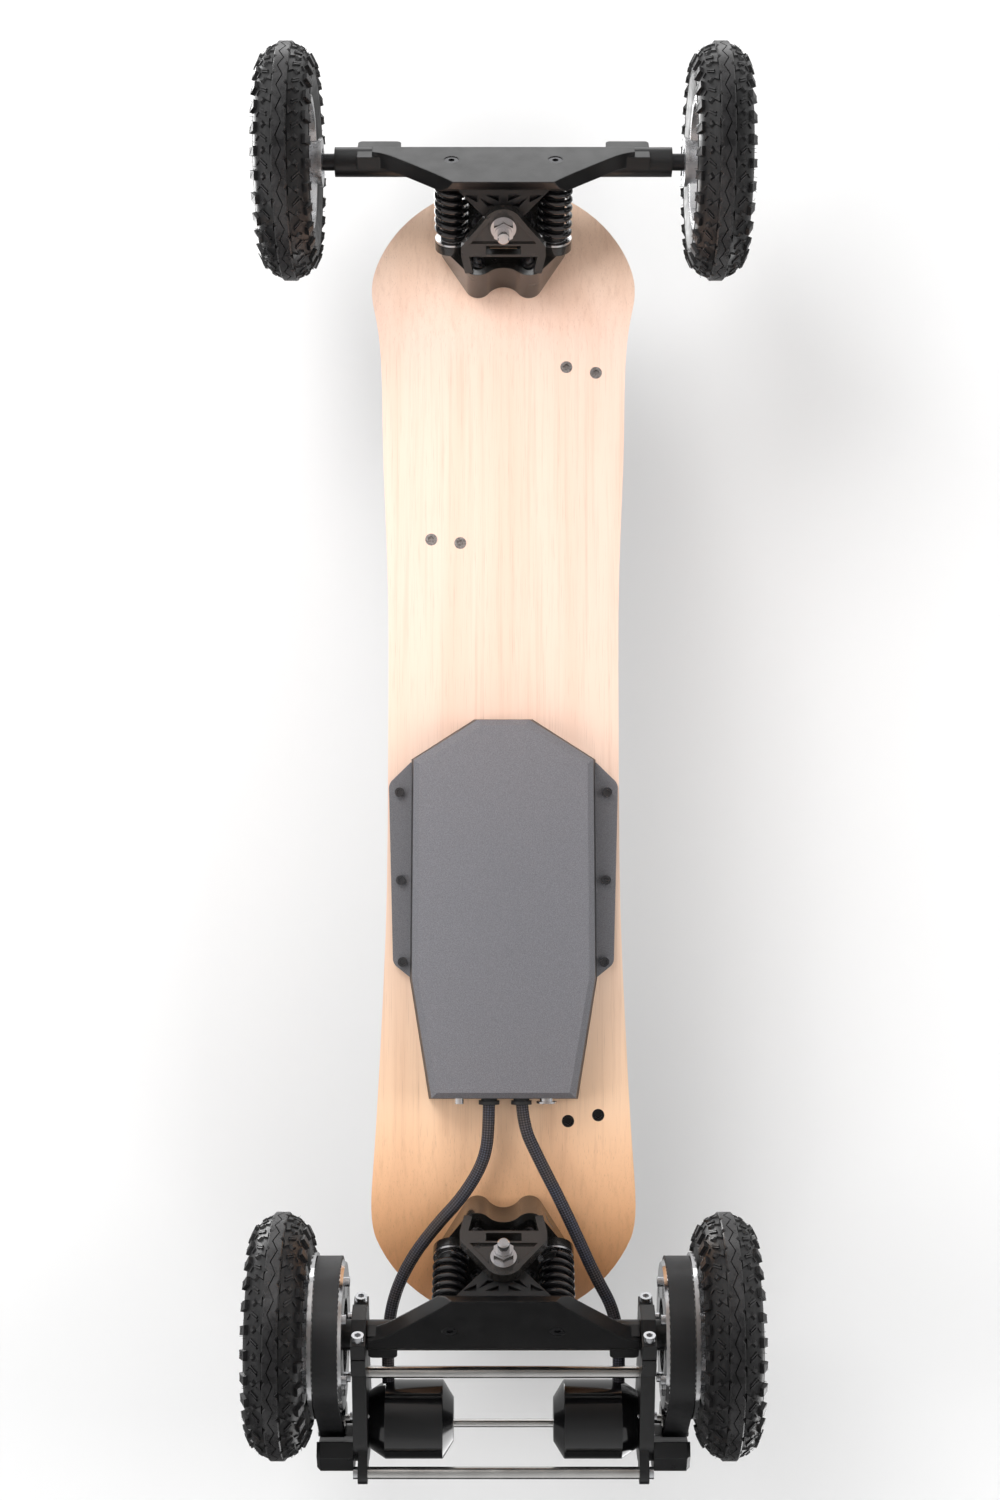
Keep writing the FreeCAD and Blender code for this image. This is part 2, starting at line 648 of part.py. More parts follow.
def make_hanger(tab_outer_y):
    """Sprung axle carrier: pivot hub, web, flat-faced beam and axle tube, in truck axes."""
    section = [Vector(beam_face_a, 0, beam_top_h), Vector(beam_face_a, 0, beam_bottom_h), Vector(31, 0, -36),
               Vector(beam_back_a, 0, -30), Vector(beam_back_a, 0, 34), Vector(33, 0, 34)]
    bar = prism(section, Vector(0, 240, 0))
    bar.translate(Vector(0, -120, 0))
    lower = Part.BSplineCurve()
    side = [(42, beam_bottom_h), (69, -16), (90, 2), (beam_end_y, 14)]
    lower.interpolate([Vector(0, y, h) for y, h in side], InitialTangent=Vector(0, 1, 1.1),
                      FinalTangent=Vector(0, 1, 0.2))
    right_edge = lower.toShape()
    left_edge = right_edge.mirror(ORIGIN, Y_AXIS)
    outline = [right_edge, left_edge]
    outline.append(Part.makeLine(Vector(0, -42, beam_bottom_h), Vector(0, 42, beam_bottom_h)))
    top = [(beam_end_y, 14), (beam_end_y, 36), (-beam_end_y, 36), (-beam_end_y, 14)]
    outline += Part.makePolygon([Vector(0, y, h) for y, h in top]).Edges
    column = Part.Face(Part.Wire(Part.__sortEdges__(outline))).extrude(Vector(80, 0, 0))
    beam = bar.common(column)
    tube = cross_rod(axle_a, axle_h, tube_radius, -tube_half_length, tube_half_length)
    hub_height = flange_height - hub_flange_gap
    hub = rod(Vector(0, 0, -hub_height), Z_AXIS, flange_nose_radius - 0.5, 2 * hub_height)
    web = prism([Vector(0, 15, -hub_height), Vector(beam_back_a + 1, 27, -hub_height),
                 Vector(beam_back_a + 1, -27, -hub_height), Vector(0, -15, -hub_height)],
                Vector(0, 0, 2 * hub_height - 6))
    foot = prism([Vector(4, 16, -hub_height), Vector(beam_back_a + 5, 40, -hub_height),
                  Vector(beam_back_a + 5, -40, -hub_height), Vector(4, -16, -hub_height)], Vector(0, 0, 9))
    tab = block(24, 36, tab_inner_y, tab_outer_y, 12, tab_top_h)
    tab = tab.makeFillet(4.0, [e for e in tab.Edges if abs(e.tangentAt(e.FirstParameter).x) > 0.9
                               and e.CenterOfMass.z > tab_top_h - 1])
    tabs = both_sides(tab)
    body = fuse([beam, tube, hub, web, foot] + tabs)
    pockets = []
    for side in (-1, 1):
        for points in (((19, 4), (24.5, 4), (24.5, 15)), ((15, 7), (22, 20), (14, 13)),
                       ((24.5, 22), (24.5, 33), (18, 22))):
            corner = [Vector(a, side * y, -hub_height - 1) for a, y in points]
            pockets.append(prism(corner, Vector(0, 0, 5)))
        pockets.append(rod(Vector(beam_back_a - 5, side * spring_y, 0), X_AXIS, 4 + fixed_gap, 30))
        pockets.append(rod(Vector(beam_face_a - 2.5, side * spring_y, 0), X_AXIS, 6 + fixed_gap, 5))
        coil_room = spring_radius + wire_radius + 1
        pockets.append(rod(Vector(beam_back_a - 30, side * spring_y, 0), X_AXIS, coil_room, 30))
        near, far = sorted((side * 62, side * 88))
        pockets.append(block(beam_back_a - 5, beam_back_a + 6, near, far, 8, 22))
    pockets.append(rod(Vector(0, 0, -60), Z_AXIS, kingpin_radius + bearing_gap, 120))
    pockets.append(rod(Vector(0, 0, hub_height), Z_AXIS, flange_nose_radius + 4, 40))
    pockets.append(cross_rod(axle_a, axle_h, axle_radius + fixed_gap, -200, 200))
    return cut(body, pockets)


def make_hangers():
    front = to_truck(make_hanger(tube_half_length - mount_inset))
    rear = to_rear(to_truck(make_hanger(plate_inner_y - 1)))
    save("front_hanger", front)
    save("rear_hanger", rear)
    plug = rod(Vector(beam_back_a - 9, spring_y, 0), X_AXIS, spring_radius - wire_radius - 0.6, 9 - seat_gap)
    neck = rod(Vector(beam_back_a - 9, spring_y, 0), X_AXIS, 4, 9 + beam_face_a - beam_back_a - 2.5)
    head = rod(Vector(beam_face_a - 2.5 + seat_gap, spring_y, 0), X_AXIS, 6, 2)
    socket = hex_prism(Vector(beam_face_a + 1, spring_y, 0), X_AXIS * -1, 5, 3)
    retainer = fuse([plug, neck, head]).cut(socket)
    placed = [to_truck(r) for r in both_sides(retainer)]
    save("front_spring_retainers", *placed)
    save("rear_spring_retainers", *[to_rear(r) for r in placed])


def make_axles():
    nut_start = wheel_y + hub_outer_reach + 2.0
    axle_end = nut_start + 6.5
    axle = cross_rod(axle_x, tyre_radius, axle_radius, -axle_end, axle_end)
    axle = axle.makeChamfer(1.0, [e for e in axle.Edges if abs(abs(e.CenterOfMass.y) - axle_end) < 0.1])
    inner_end = wheel_y - hub_inner_reach
    pieces = []
    for side in (-1, 1):
        hole = cross_rod(axle_x, tyre_radius, axle_radius + fixed_gap, side * 250 - 250, side * 250 + 250)
        outward = Y_AXIS * side
        spacer = rod(Vector(axle_x, side * (tube_half_length + seat_gap), tyre_radius), outward, 7.2,
                     inner_end - tube_half_length - 2 * seat_gap)
        washer = rod(Vector(axle_x, side * (wheel_y + hub_outer_reach + 0.2), tyre_radius), outward, 9.0, 1.6)
        nut = hex_prism(Vector(axle_x, side * nut_start, tyre_radius), outward, 18, 5.5)
        pieces += [spacer.cut(hole), fuse([washer, nut]).cut(hole)]
    save("front_axle", axle)
    save("rear_axle", to_rear(axle))
    save("front_axle_hardware", *pieces)
    save("rear_axle_hardware", *[to_rear(p) for p in pieces])


# ---- wheels --------------------------------------------------------------------------------

def revolve(points):
    """Revolve a closed (y, radius) profile about the Y axis."""
    vectors = [Vector(radius, y, 0) for y, radius in points]
    return Part.Face(Part.makePolygon(vectors + [vectors[0]])).revolve(ORIGIN, Y_AXIS, 360)


def make_tyre():
    """Round-section tyre with a running band, diagonal lugs and square side knobs."""
    casing_radius = tyre_half_width - 1.0
    crown_radius = tyre_radius - tread_depth
    casing_middle = crown_radius - casing_radius
    wall_angle = 112.0
    bead = [(rim_half_width - rim_lip / 2, rim_radius + rim_lip + seat_gap),
            (rim_half_width - rim_lip - seat_gap, rim_radius + rim_lip),
            (rim_half_width - rim_lip - seat_gap, rim_radius + seat_gap)]
    half = []
    for i in range(casing_steps + 1):
        angle = math.radians((i + 0.5) * wall_angle / (casing_steps + 0.5))
        half.append((casing_radius * math.sin(angle), casing_middle + casing_radius * math.cos(angle)))
    half += bead
    casing = revolve(half + [(-y, r) for y, r in reversed(half)])
    band = revolve([(-band_half_width, crown_radius - 3), (-band_half_width, tyre_radius - 0.9),
                    (-band_half_width + 1.5, tyre_radius), (band_half_width - 1.5, tyre_radius),
                    (band_half_width, tyre_radius - 0.9), (band_half_width, crown_radius - 3)])
    blocks = []
    for i in range(knob_count):
        for sign in (-1, 1):
            knob = block(casing_radius - 1.5, casing_radius + 2.2, -3.8, 3.8, -4.6, 4.6)
            lug = block(casing_radius - 1.0, casing_radius + 1.4, -5.2, 4.2, -3.4, 3.4)
            lug.rotate(ORIGIN, X_AXIS, sign * 38)
            for piece, tilt in ((knob, knob_angle), (lug, lug_angle)):
                piece.rotate(ORIGIN, Z_AXIS, sign * tilt)
                piece.translate(Vector(casing_middle, 0, 0))
                piece.rotate(ORIGIN, Y_AXIS, (i + (0.5 if sign > 0 else 0)) * 360 / knob_count)
                blocks.append(piece)
    return casing.fuse([band] + blocks)


def make_rim():
    """Cast rim: barrel with lips, five spokes and a hub; inboard side at -Y."""
    well = rim_half_width - rim_lip
    half = [(well, rim_radius), (well, rim_radius + rim_lip - 1), (rim_half_width, rim_radius + rim_lip),
            (rim_half_width, rim_radius - 3), (rim_half_width - 8, rim_radius - 4)]
    barrel = revolve(half + [(-y, radius) for y, radius in reversed(half)])
    hub = cross_rod(0, 0, hub_radius - 2.5, -hub_inner_reach + 3, hub_outer_reach)
    flange = cross_rod(0, 0, hub_radius, -hub_inner_reach, -hub_inner_reach + 3)
    spokes = []
    for i in range(spoke_count):
        root = Part.makePolygon([Vector(hub_radius - 5, -9, -8), Vector(hub_radius - 5, 9, -8),
                                 Vector(hub_radius - 5, 9, 8), Vector(hub_radius - 5, -9, 8),
                                 Vector(hub_radius - 5, -9, -8)])
        end = Part.makePolygon([Vector(rim_radius - 3, -6, -5), Vector(rim_radius - 3, 6, -5),
                                Vector(rim_radius - 3, 6, 5), Vector(rim_radius - 3, -6, 5),
                                Vector(rim_radius - 3, -6, -5)])
        spoke = Part.makeLoft([root, end], True, True)
        spoke.rotate(ORIGIN, Y_AXIS, i * 360 / spoke_count)
        spokes.append(spoke)
    rim = fuse([barrel, hub, flange] + spokes)
    seats = [cross_rod(0, 0, hub_bore_radius + fixed_gap, -hub_inner_reach - 1, -hub_inner_reach + bearing_width),
             cross_rod(0, 0, hub_bore_radius + fixed_gap, hub_outer_reach - bearing_width, hub_outer_reach + 1),
             cross_rod(0, 0, 9.0, -hub_inner_reach - 1, hub_outer_reach + 1)]
    return cut(rim, seats)


def make_bearings():
    pair = []
    for start in (-hub_inner_reach + 0.1, hub_outer_reach - bearing_width + 0.1):
        ring = cross_rod(0, 0, hub_bore_radius, start, start + bearing_width - 0.2)
        groove = [cross_rod(0, 0, 11.5, start - 1, start + 0.6), cross_rod(0, 0, 8.0, start - 1, start + 0.7)]
        shield = groove[0].cut(groove[1])
        pair.append(cut(ring, [shield, cross_rod(0, 0, axle_radius + bearing_gap, start - 1, start + 20)]))
    return pair


def place_wheel(shape, front, left):
    """Move a wheel part from the wheel's own axes (inboard at -Y) to its corner of the board."""
    placed = shape.copy()
    if not left:
        placed = placed.mirror(ORIGIN, Y_AXIS)
    placed.translate(Vector(axle_x if front else -axle_x, wheel_y if left else -wheel_y, tyre_radius))
    return placed


def make_wheels():
    tyre = make_tyre()
    rim = make_rim()
    bearings = make_bearings()
    for front in (True, False):
        for left in (True, False):
            name = ("front" if front else "rear") + ("_left" if left else "_right")
            save(name + "_tyre", place_wheel(tyre, front, left))
            save(name + "_rim", place_wheel(rim, front, left))
            save(name + "_bearings", *[place_wheel(b, front, left) for b in bearings])


# ---- drive ---------------------------------------------------------------------------------

def toothed_pulley(teeth, width, bore):
    """Belt pulley about the Y axis with trapezoid tooth gaps, one gap facing +X."""
    pitch_radius = teeth * pulley_pitch / (2 * math.pi)
    tip_radius = pitch_radius - 0.55
    root_radius = tip_radius - belt_tooth_depth
    step = 2 * math.pi / teeth
    points = []
    for i in range(teeth):
        for share, radius in ((-0.28, tip_radius), (-0.18, root_radius), (0.18, root_radius), (0.28, tip_radius)):
            angle = (i + share) * step
            points.append(Vector(radius * math.cos(angle), -width / 2, radius * math.sin(angle)))
    return prism(points, Vector(0, width, 0)).cut(cross_rod(0, 0, bore, -width, width))


def pitch_radius(teeth):
    return teeth * pulley_pitch / (2 * math.pi)


def belt_loop(offset, y0, y1):
    """Solid band outline round both pulleys at an offset from the pitch line."""
    big = pitch_radius(driven_teeth) + offset
    small = pitch_radius(motor_teeth) + offset
    return link((-axle_x, tyre_radius, big), (-motor_x, motor_z, small), y0, y1)


def link(first, second, y0, y1):
    """Solid bar between two round ends, each (x, z, radius), with tangent sides."""
    x0, z0, r0 = first
    x1, z1, r1 = second
    distance = math.hypot(x1 - x0, z1 - z0)
    along = math.atan2(z1 - z0, x1 - x0)
    lean = math.acos((r0 - r1) / distance)
    corners = []
    for x, z, r, sign in ((x0, z0, r0, 1), (x1, z1, r1, 1), (x1, z1, r1, -1), (x0, z0, r0, -1)):
        angle = along + sign * lean
        corners.append(Vector(x + r * math.cos(angle), y0, z + r * math.sin(angle)))
    ends = [cross_rod(x0, z0, r0, y0, y1), cross_rod(x1, z1, r1, y0, y1)]
    return fuse([prism(corners, Vector(0, y1 - y0, 0))] + ends)


def make_drive():
    mount_angle = math.atan2(motor_z - tyre_radius, motor_x - axle_x)
    away = Vector(-math.cos(mount_angle), 0, math.sin(mount_angle))
    down = Vector(-math.sin(mount_angle), 0, -math.cos(mount_angle))
    axle_point = Vector(-axle_x, 0, tyre_radius)
    motor_point = Vector(-motor_x, 0, motor_z)
    clamp_radius = 21.0
    lug_place = 26.0

    def side_point(centre, u, q, y):
        return centre + away * u + down * q + Y_AXIS * y

    plate = [link((-axle_x, tyre_radius, clamp_radius), (-motor_x, motor_z, 34.0), plate_inner_y, plate_outer_y)]
    for x, z, r in bar_places:
        plate.append(link((-motor_x, motor_z, 20.0), (-x, z, r + bar_boss), plate_inner_y, plate_inner_y + 8))
    lug = [side_point(axle_point, u, q, plate_inner_y) for u, q in ((0.6, -lug_place - 7), (16, -lug_place - 7),
                                                                   (20, -14), (20, 14), (16, lug_place + 7),
                                                                   (0.6, lug_place + 7))]
    plate.append(prism(lug, Y_AXIS * (plate_outer_y - plate_inner_y)))
    plate = fuse(plate)
    front_part = [side_point(axle_point, u, q, plate_inner_y - 1) for u, q in ((-60, -60), (0.6, -60), (0.6, 60),
                                                                              (-60, 60))]
    plate = plate.cut(prism(front_part, Y_AXIS * 40))
    cap = [side_point(axle_point, u, q, plate_inner_y) for u, q in ((-0.6, -lug_place - 7), (-14, -lug_place - 7),
                                                                   (-14, -18), (-23, -10), (-23, 10), (-14, 18),
                                                                   (-14, lug_place + 7), (-0.6, lug_place + 7))]
    cap = prism(cap, Y_AXIS * (plate_outer_y - plate_inner_y))
    tube_hole = cross_rod(-axle_x, tyre_radius, tube_radius + fixed_gap, 50, 200)
    plate_middle = (plate_inner_y + plate_outer_y) / 2
    screws = []
    holes = []
    for q in (-lug_place, lug_place):
        under_head = side_point(axle_point, -14 - seat_gap, q, plate_middle)
        screws.append(socket_screw(under_head, away, 3.0, 27, 5.0, 6.0))
        holes.append(rod(under_head - away * 2, away, 3.0 + fixed_gap, 31))
    motor_bolt_circle = 22.0
    key_holes = []
    for i in range(4):
        angle = math.pi / 4 + i * math.pi / 2
        place = side_point(motor_point, motor_bolt_circle * math.cos(angle), motor_bolt_circle * math.sin(angle),
                           plate_outer_y + seat_gap)
        screws.append(socket_screw(place, Y_AXIS * -1, 2.0, 14, 3.6, 3.0))
        holes.append(rod(place + Y_AXIS, Y_AXIS * -1, 2.0 + fixed_gap, 20))
        key_holes.append(rod(place, Y_AXIS, 4.2, 60))
    shaft_hole = cross_rod(-motor_x, motor_z, 10.0, 50, 200)
    bar_holes = [cross_rod(-x, z, 3.0 + fixed_gap, 60, 200) for x, z, r in bar_places]
    sunk_head_y = plate_outer_y - 4.5
    sunk_head = cross_rod(-bar_places[0][0], bar_places[0][1], 5.2, sunk_head_y - seat_gap, 200)
    plate = cut(plate, holes + [tube_hole, shaft_hole, sunk_head] + bar_holes)
    cap = cut(cap, holes + [tube_hole])
    save("left_motor_mount", plate)
    save("right_motor_mount", plate.mirror(ORIGIN, Y_AXIS))
    save("clamp_caps", *both_sides(cap))

    bars = []
    for i, (x, z, r) in enumerate(bar_places):
        reach = plate_inner_y - seat_gap
        bar = cross_rod(-x, z, r, -reach, reach)
        bars.append(bar.cut(cross_rod(-x, z, 3.0 + fixed_gap, -reach - 1, reach + 1)))
        for side in (-1, 1):
            end = Vector(-x, side * (sunk_head_y if i == 0 else plate_inner_y + 8 + seat_gap), z)
            bolt = socket_screw(end, Y_AXIS * -side, 3.0, 18, 5.0, 4.0)
            screws.append(bolt)
    save("crossbars", *bars)
    mount_screws = []
    for screw in screws[:6]:
        mount_screws += both_sides(screw)
    save("mount_screws", *(mount_screws + screws[6:]))

    # motor: can with a cone end, flared base and a hollow for the rotor
    can = [(motor_inner_y, 0), (motor_inner_y, motor_radius * 0.56), (motor_inner_y + motor_cone, motor_radius),
           (motor_base_y, motor_radius), (motor_base_y, motor_radius), (plate_inner_y - seat_gap, motor_radius * 0.72),
           (plate_inner_y - seat_gap, 0)]
    hollow = [(motor_inner_y + 5, 0), (motor_inner_y + 5, 14), (motor_inner_y + motor_cone + 4, motor_radius - 3),
              (motor_base_y - 6, motor_radius - 3), (motor_base_y - 6, 0)]
    housing = revolve(can).cut(revolve(hollow))
    housing = housing.cut(cross_rod(0, 0, shaft_radius + bearing_gap, motor_base_y - 8, plate_outer_y))
    housing = housing.makeFillet(1.2, [e for e in housing.Edges if abs(e.CenterOfMass.y - motor_inner_y) < 0.1
                                       or abs(e.CenterOfMass.y - motor_inner_y - motor_cone) < 0.1][:2])
    housing.translate(motor_point)
    cable_end = Vector(*left_route[-1])
    back_along = (Vector(*left_route[-2]) - cable_end).normalize()
    inlet = rod(cable_end - back_along * 0.5, back_along, cable_radius + fixed_gap, 40)
    housing = cut(housing, holes[2:] + [inlet])
    drum = cross_rod(0, 0, motor_radius - 4.5, motor_inner_y + motor_cone + 6, motor_base_y - 8)
    shaft = cross_rod(0, 0, shaft_radius, motor_base_y - 10, belt_y + belt_width / 2 + 1.5)
    rotor = fuse([drum, shaft])
    rotor.translate(motor_point)
    small = toothed_pulley(motor_teeth, belt_width + 1, shaft_radius + fixed_gap)
    cheek_radius = pitch_radius(motor_teeth) + 1.6
    cheek_start = belt_width / 2 + 0.5
    cheek_end = belt_width / 2 + 1.5
    flange_profile = [(cheek_start, shaft_radius + fixed_gap), (cheek_start, cheek_radius),
                      (cheek_end, cheek_radius), (cheek_end, shaft_radius + fixed_gap)]
    cheek = revolve(flange_profile)
    small = fuse([small] + [cheek, cheek.mirror(ORIGIN, Y_AXIS)])
    small.rotate(ORIGIN, Y_AXIS, math.degrees(mount_angle))
    small.translate(motor_point + Y_AXIS * belt_y)
    big = toothed_pulley(driven_teeth, belt_width + 1, driven_bore)
    flange_start = belt_width / 2 + 0.5
    flange_end = flange_start + driven_flange
    flange_radius = pitch_radius(driven_teeth) + 5.0
    chrome = revolve([(flange_start, driven_bore), (flange_start, flange_radius),
                      (flange_end, flange_radius), (flange_end, driven_bore)])
    inner_rim = revolve([(-flange_start, driven_bore), (-flange_start, pitch_radius(driven_teeth) - 1.5),
                         (-flange_start - 2.5, pitch_radius(driven_teeth) - 3.0),
                         (-flange_start - 2.5, driven_bore)])
    windows = [cross_rod(bolt_circle * math.cos(i * math.pi / 5), bolt_circle * math.sin(i * math.pi / 5), 5.5,
                         -30, 30) for i in range(0, 10, 2)]
    bolts = []
    spacer_end = wheel_y - belt_y - 9.0
    for i in range(1, 10, 2):
        x = bolt_circle * math.cos(i * math.pi / 5)
        z = bolt_circle * math.sin(i * math.pi / 5)
        windows.append(cross_rod(x, z, 2.5 + fixed_gap, -30, 30))
        under_head = -flange_start - 2.5 - seat_gap
        screw = socket_screw(Vector(x, under_head, z), Y_AXIS, 2.5, spacer_end - under_head, 4.2, 3.0)
        post = cross_rod(x, z, 5.0, flange_end + seat_gap, spacer_end)
        bolts.append(fuse([screw, post]))
    pulley = cut(fuse([big, chrome, inner_rim]), windows)
    pulley.rotate(ORIGIN, Y_AXIS, math.degrees(mount_angle))
    turn = Vector(-axle_x, belt_y, tyre_radius)
    pulley.translate(turn)
    for bolt in bolts:
        bolt.rotate(ORIGIN, Y_AXIS, math.degrees(mount_angle))
        bolt.translate(turn)
    outer = belt_loop(belt_back, belt_y - belt_width / 2, belt_y + belt_width / 2)
    inner = belt_loop(-0.55 + tooth_gap, belt_y - belt_width, belt_y + belt_width)
    belt = outer.cut(inner)

    cover = [(-586.5, 112.0), (-599.0, 109.0), (-612.0, 120.0), (-615.0, 140.0), (-609.0, 158.0), (-592.0, 166.0),
             (-580.0, 163.0), (-590.5, 150.0), (-592.5, 138.0), (-589.0, 124.0)]
    guard_end = belt_y + belt_width / 2 + 1.5
    guard = prism([Vector(x, plate_outer_y + seat_gap, z) for x, z in cover], Y_AXIS * (guard_end - plate_outer_y))
    guard = cut(guard, [cross_rod(-motor_x, motor_z, 16.6, 50, 200)] + key_holes)
    guard = guard.makeChamfer(3.0, [e for e in guard.Edges if abs(e.CenterOfMass.y - guard_end - seat_gap) < 0.1
                                    and e.CenterOfMass.x < -592.6])
    for name, mirrored in (("left", False), ("right", True)):
        def place(shape):
            return shape.mirror(ORIGIN, Y_AXIS) if mirrored else shape
        save(name + "_motor_housing", place(housing))
        save(name + "_motor_rotor", place(rotor))
        save(name + "_motor_pulley", place(small))
        save(name + "_driven_pulley", place(pulley))
        save(name + "_belt", place(belt))
    save("pulley_guards", *both_sides(guard))
    save("left_pulley_bolts", *bolts)
    save("right_pulley_bolts", *[b.mirror(ORIGIN, Y_AXIS) for b in bolts])


make_deck()
make_deck_hardware()
make_enclosure()
make_electronics()
make_cables()
make_base()
make_kingpins()
make_springs()
make_hangers()
make_axles()
make_wheels()
make_drive()
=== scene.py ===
import json
import math
import random

import bpy
from mathutils import Matrix, Vector

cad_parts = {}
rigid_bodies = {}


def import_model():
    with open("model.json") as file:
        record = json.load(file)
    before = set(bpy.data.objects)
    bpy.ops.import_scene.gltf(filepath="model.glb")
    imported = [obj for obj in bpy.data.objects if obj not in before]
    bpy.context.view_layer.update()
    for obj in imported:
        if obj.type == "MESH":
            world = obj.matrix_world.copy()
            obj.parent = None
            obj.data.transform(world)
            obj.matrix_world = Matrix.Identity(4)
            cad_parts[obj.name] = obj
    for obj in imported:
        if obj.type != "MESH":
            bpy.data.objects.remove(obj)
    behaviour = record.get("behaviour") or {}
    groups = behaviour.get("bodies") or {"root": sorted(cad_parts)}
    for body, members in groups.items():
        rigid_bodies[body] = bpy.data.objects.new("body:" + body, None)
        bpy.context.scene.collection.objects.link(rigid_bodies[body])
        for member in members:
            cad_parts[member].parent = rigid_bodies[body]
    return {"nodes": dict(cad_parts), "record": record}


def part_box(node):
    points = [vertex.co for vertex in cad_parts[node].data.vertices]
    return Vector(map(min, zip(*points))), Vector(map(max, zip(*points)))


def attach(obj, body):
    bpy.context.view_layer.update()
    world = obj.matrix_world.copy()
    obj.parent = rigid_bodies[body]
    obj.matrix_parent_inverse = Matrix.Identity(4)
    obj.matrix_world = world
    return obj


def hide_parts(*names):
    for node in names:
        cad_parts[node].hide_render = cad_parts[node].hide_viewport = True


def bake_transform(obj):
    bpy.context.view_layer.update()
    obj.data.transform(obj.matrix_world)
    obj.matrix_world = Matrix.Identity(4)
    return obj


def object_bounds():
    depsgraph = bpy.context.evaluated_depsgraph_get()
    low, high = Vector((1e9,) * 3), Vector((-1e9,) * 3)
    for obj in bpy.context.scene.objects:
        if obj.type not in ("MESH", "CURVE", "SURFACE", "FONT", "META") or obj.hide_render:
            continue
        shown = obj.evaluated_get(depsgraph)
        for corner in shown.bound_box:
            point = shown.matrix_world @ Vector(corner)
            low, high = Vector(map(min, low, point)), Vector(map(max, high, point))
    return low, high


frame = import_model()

CAD_BOX = [list(corner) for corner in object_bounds()]
JOINTS = {joint["name"]: joint for joint in frame["record"]["behaviour"]["joints"]}
WHEELS = ("front_left", "front_right", "rear_left", "rear_right")
SIDES = ("left", "right")
Y_AXIS = Vector((0, 1, 0))


# ---- places worked out from the frame --------------------------------------------------------

def centre(node):
    """Middle of a node's box."""
    low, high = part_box(node)
    return (Vector(low) + Vector(high)) / 2


def extent(node):
    """Lengths of a node's box."""
    low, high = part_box(node)
    return Vector(high) - Vector(low)


def joint_place(name):
    return Vector(JOINTS[name]["pos_m"])


# ---- camera, floor and light -----------------------------------------------------------------

CAMERA_PLACE = Vector((-0.1335, -0.0029, -1.795))
CAMERA_TILT = math.radians(4.09)
LENS = 54.0
SENSOR = 36.0


def make_camera():
    """Camera under the board, looking up at its underside, with the front of the board up."""
    data = bpy.data.cameras.new("camera")
    data.lens = LENS
    data.sensor_width = SENSOR
    data.sensor_fit = "AUTO"
    data.clip_end = 50
    camera = bpy.data.objects.new("camera", data)
    bpy.context.scene.collection.objects.link(camera)
    forward = Vector((math.sin(CAMERA_TILT), 0, math.cos(CAMERA_TILT)))
    up = Vector((math.cos(CAMERA_TILT), 0, -math.sin(CAMERA_TILT)))
    rows = Matrix((Y_AXIS, up, -forward)).transposed()
    camera.matrix_world = Matrix.Translation(CAMERA_PLACE) @ rows.to_4x4()
    bpy.context.scene.camera = camera


def new_material(name):
    material = bpy.data.materials.new(name)
    material.use_nodes = True
    tree = material.node_tree
    tree.nodes.clear()
    output = tree.nodes.new("ShaderNodeOutputMaterial")
    return material, tree, output


FAR_PALE = 0.96             # tone of the world, and of the stage far from the board
FADE_START = 0.85
FADE_END = 2.6
FLOOR_SIZE = 12.0
FLOOR_DROP = 0.0004         # below the tyres' lowest points
FLOOR_TONE = 0.86
BACKDROP_SIZE = 1.6
BACKDROP_GAP = 0.12         # above the board's highest point
BACKDROP_TONE = 0.81


def one_sided(name, tone, seen_by_all):
    """Stage material that shows only its front, and lets every lamp's light through.

    Away from the board it fades to the pale tone of the world, where only the camera sees it.
    Where seen_by_all is false, only the camera sees it: it neither lights the board nor shines in it.
    """
    material, tree, output = new_material(name)
    nodes, links = tree.nodes, tree.links

    def combine(operation, first, second):
        node = nodes.new("ShaderNodeMath")
        node.operation = operation
        links.new(first, node.inputs[0])
        links.new(second, node.inputs[1])
        return node.outputs[0]

    def mix(factor, first, second):
        node = nodes.new("ShaderNodeMixShader")
        for slot, source in enumerate((factor, first, second)):
            links.new(source, node.inputs[slot])
        return node.outputs[0]

    surface = nodes.new("ShaderNodeBsdfDiffuse")
    surface.inputs["Color"].default_value = (tone, tone, tone, 1)
    glow = nodes.new("ShaderNodeEmission")
    glow.inputs["Color"].default_value = (FAR_PALE, FAR_PALE, FAR_PALE, 1)
    clear = nodes.new("ShaderNodeBsdfTransparent")
    geometry = nodes.new("ShaderNodeNewGeometry")
    path = nodes.new("ShaderNodeLightPath")
    away = nodes.new("ShaderNodeVectorMath")
    away.operation = "LENGTH"
    links.new(geometry.outputs["Position"], away.inputs[0])
    fade = nodes.new("ShaderNodeMapRange")
    fade.interpolation_type = "SMOOTHSTEP"
    fade.inputs["From Min"].default_value = FADE_START
    fade.inputs["From Max"].default_value = FADE_END
    links.new(away.outputs["Value"], fade.inputs["Value"])
    far = combine("MULTIPLY", fade.outputs[0], path.outputs["Is Camera Ray"])
    ground = mix(far, surface.outputs[0], glow.outputs[0])
    hidden = combine("MAXIMUM", geometry.outputs["Backfacing"], path.outputs["Is Shadow Ray"])
    for ray in () if seen_by_all else ("Is Diffuse Ray", "Is Glossy Ray"):
        hidden = combine("MAXIMUM", hidden, path.outputs[ray])
    links.new(mix(hidden, ground, clear.outputs[0]), output.inputs["Surface"])
    return material


def stage_plane(name, size, height, face_up, material):
    mesh = bpy.data.meshes.new(name)
    half = size / 2
    corners = [(-half, -half, height), (half, -half, height), (half, half, height), (-half, half, height)]
    mesh.from_pydata(corners, [], [(0, 1, 2, 3) if face_up else (3, 2, 1, 0)])
    mesh.materials.append(material)
    obj = bpy.data.objects.new(name, mesh)
    bpy.context.scene.collection.objects.link(obj)


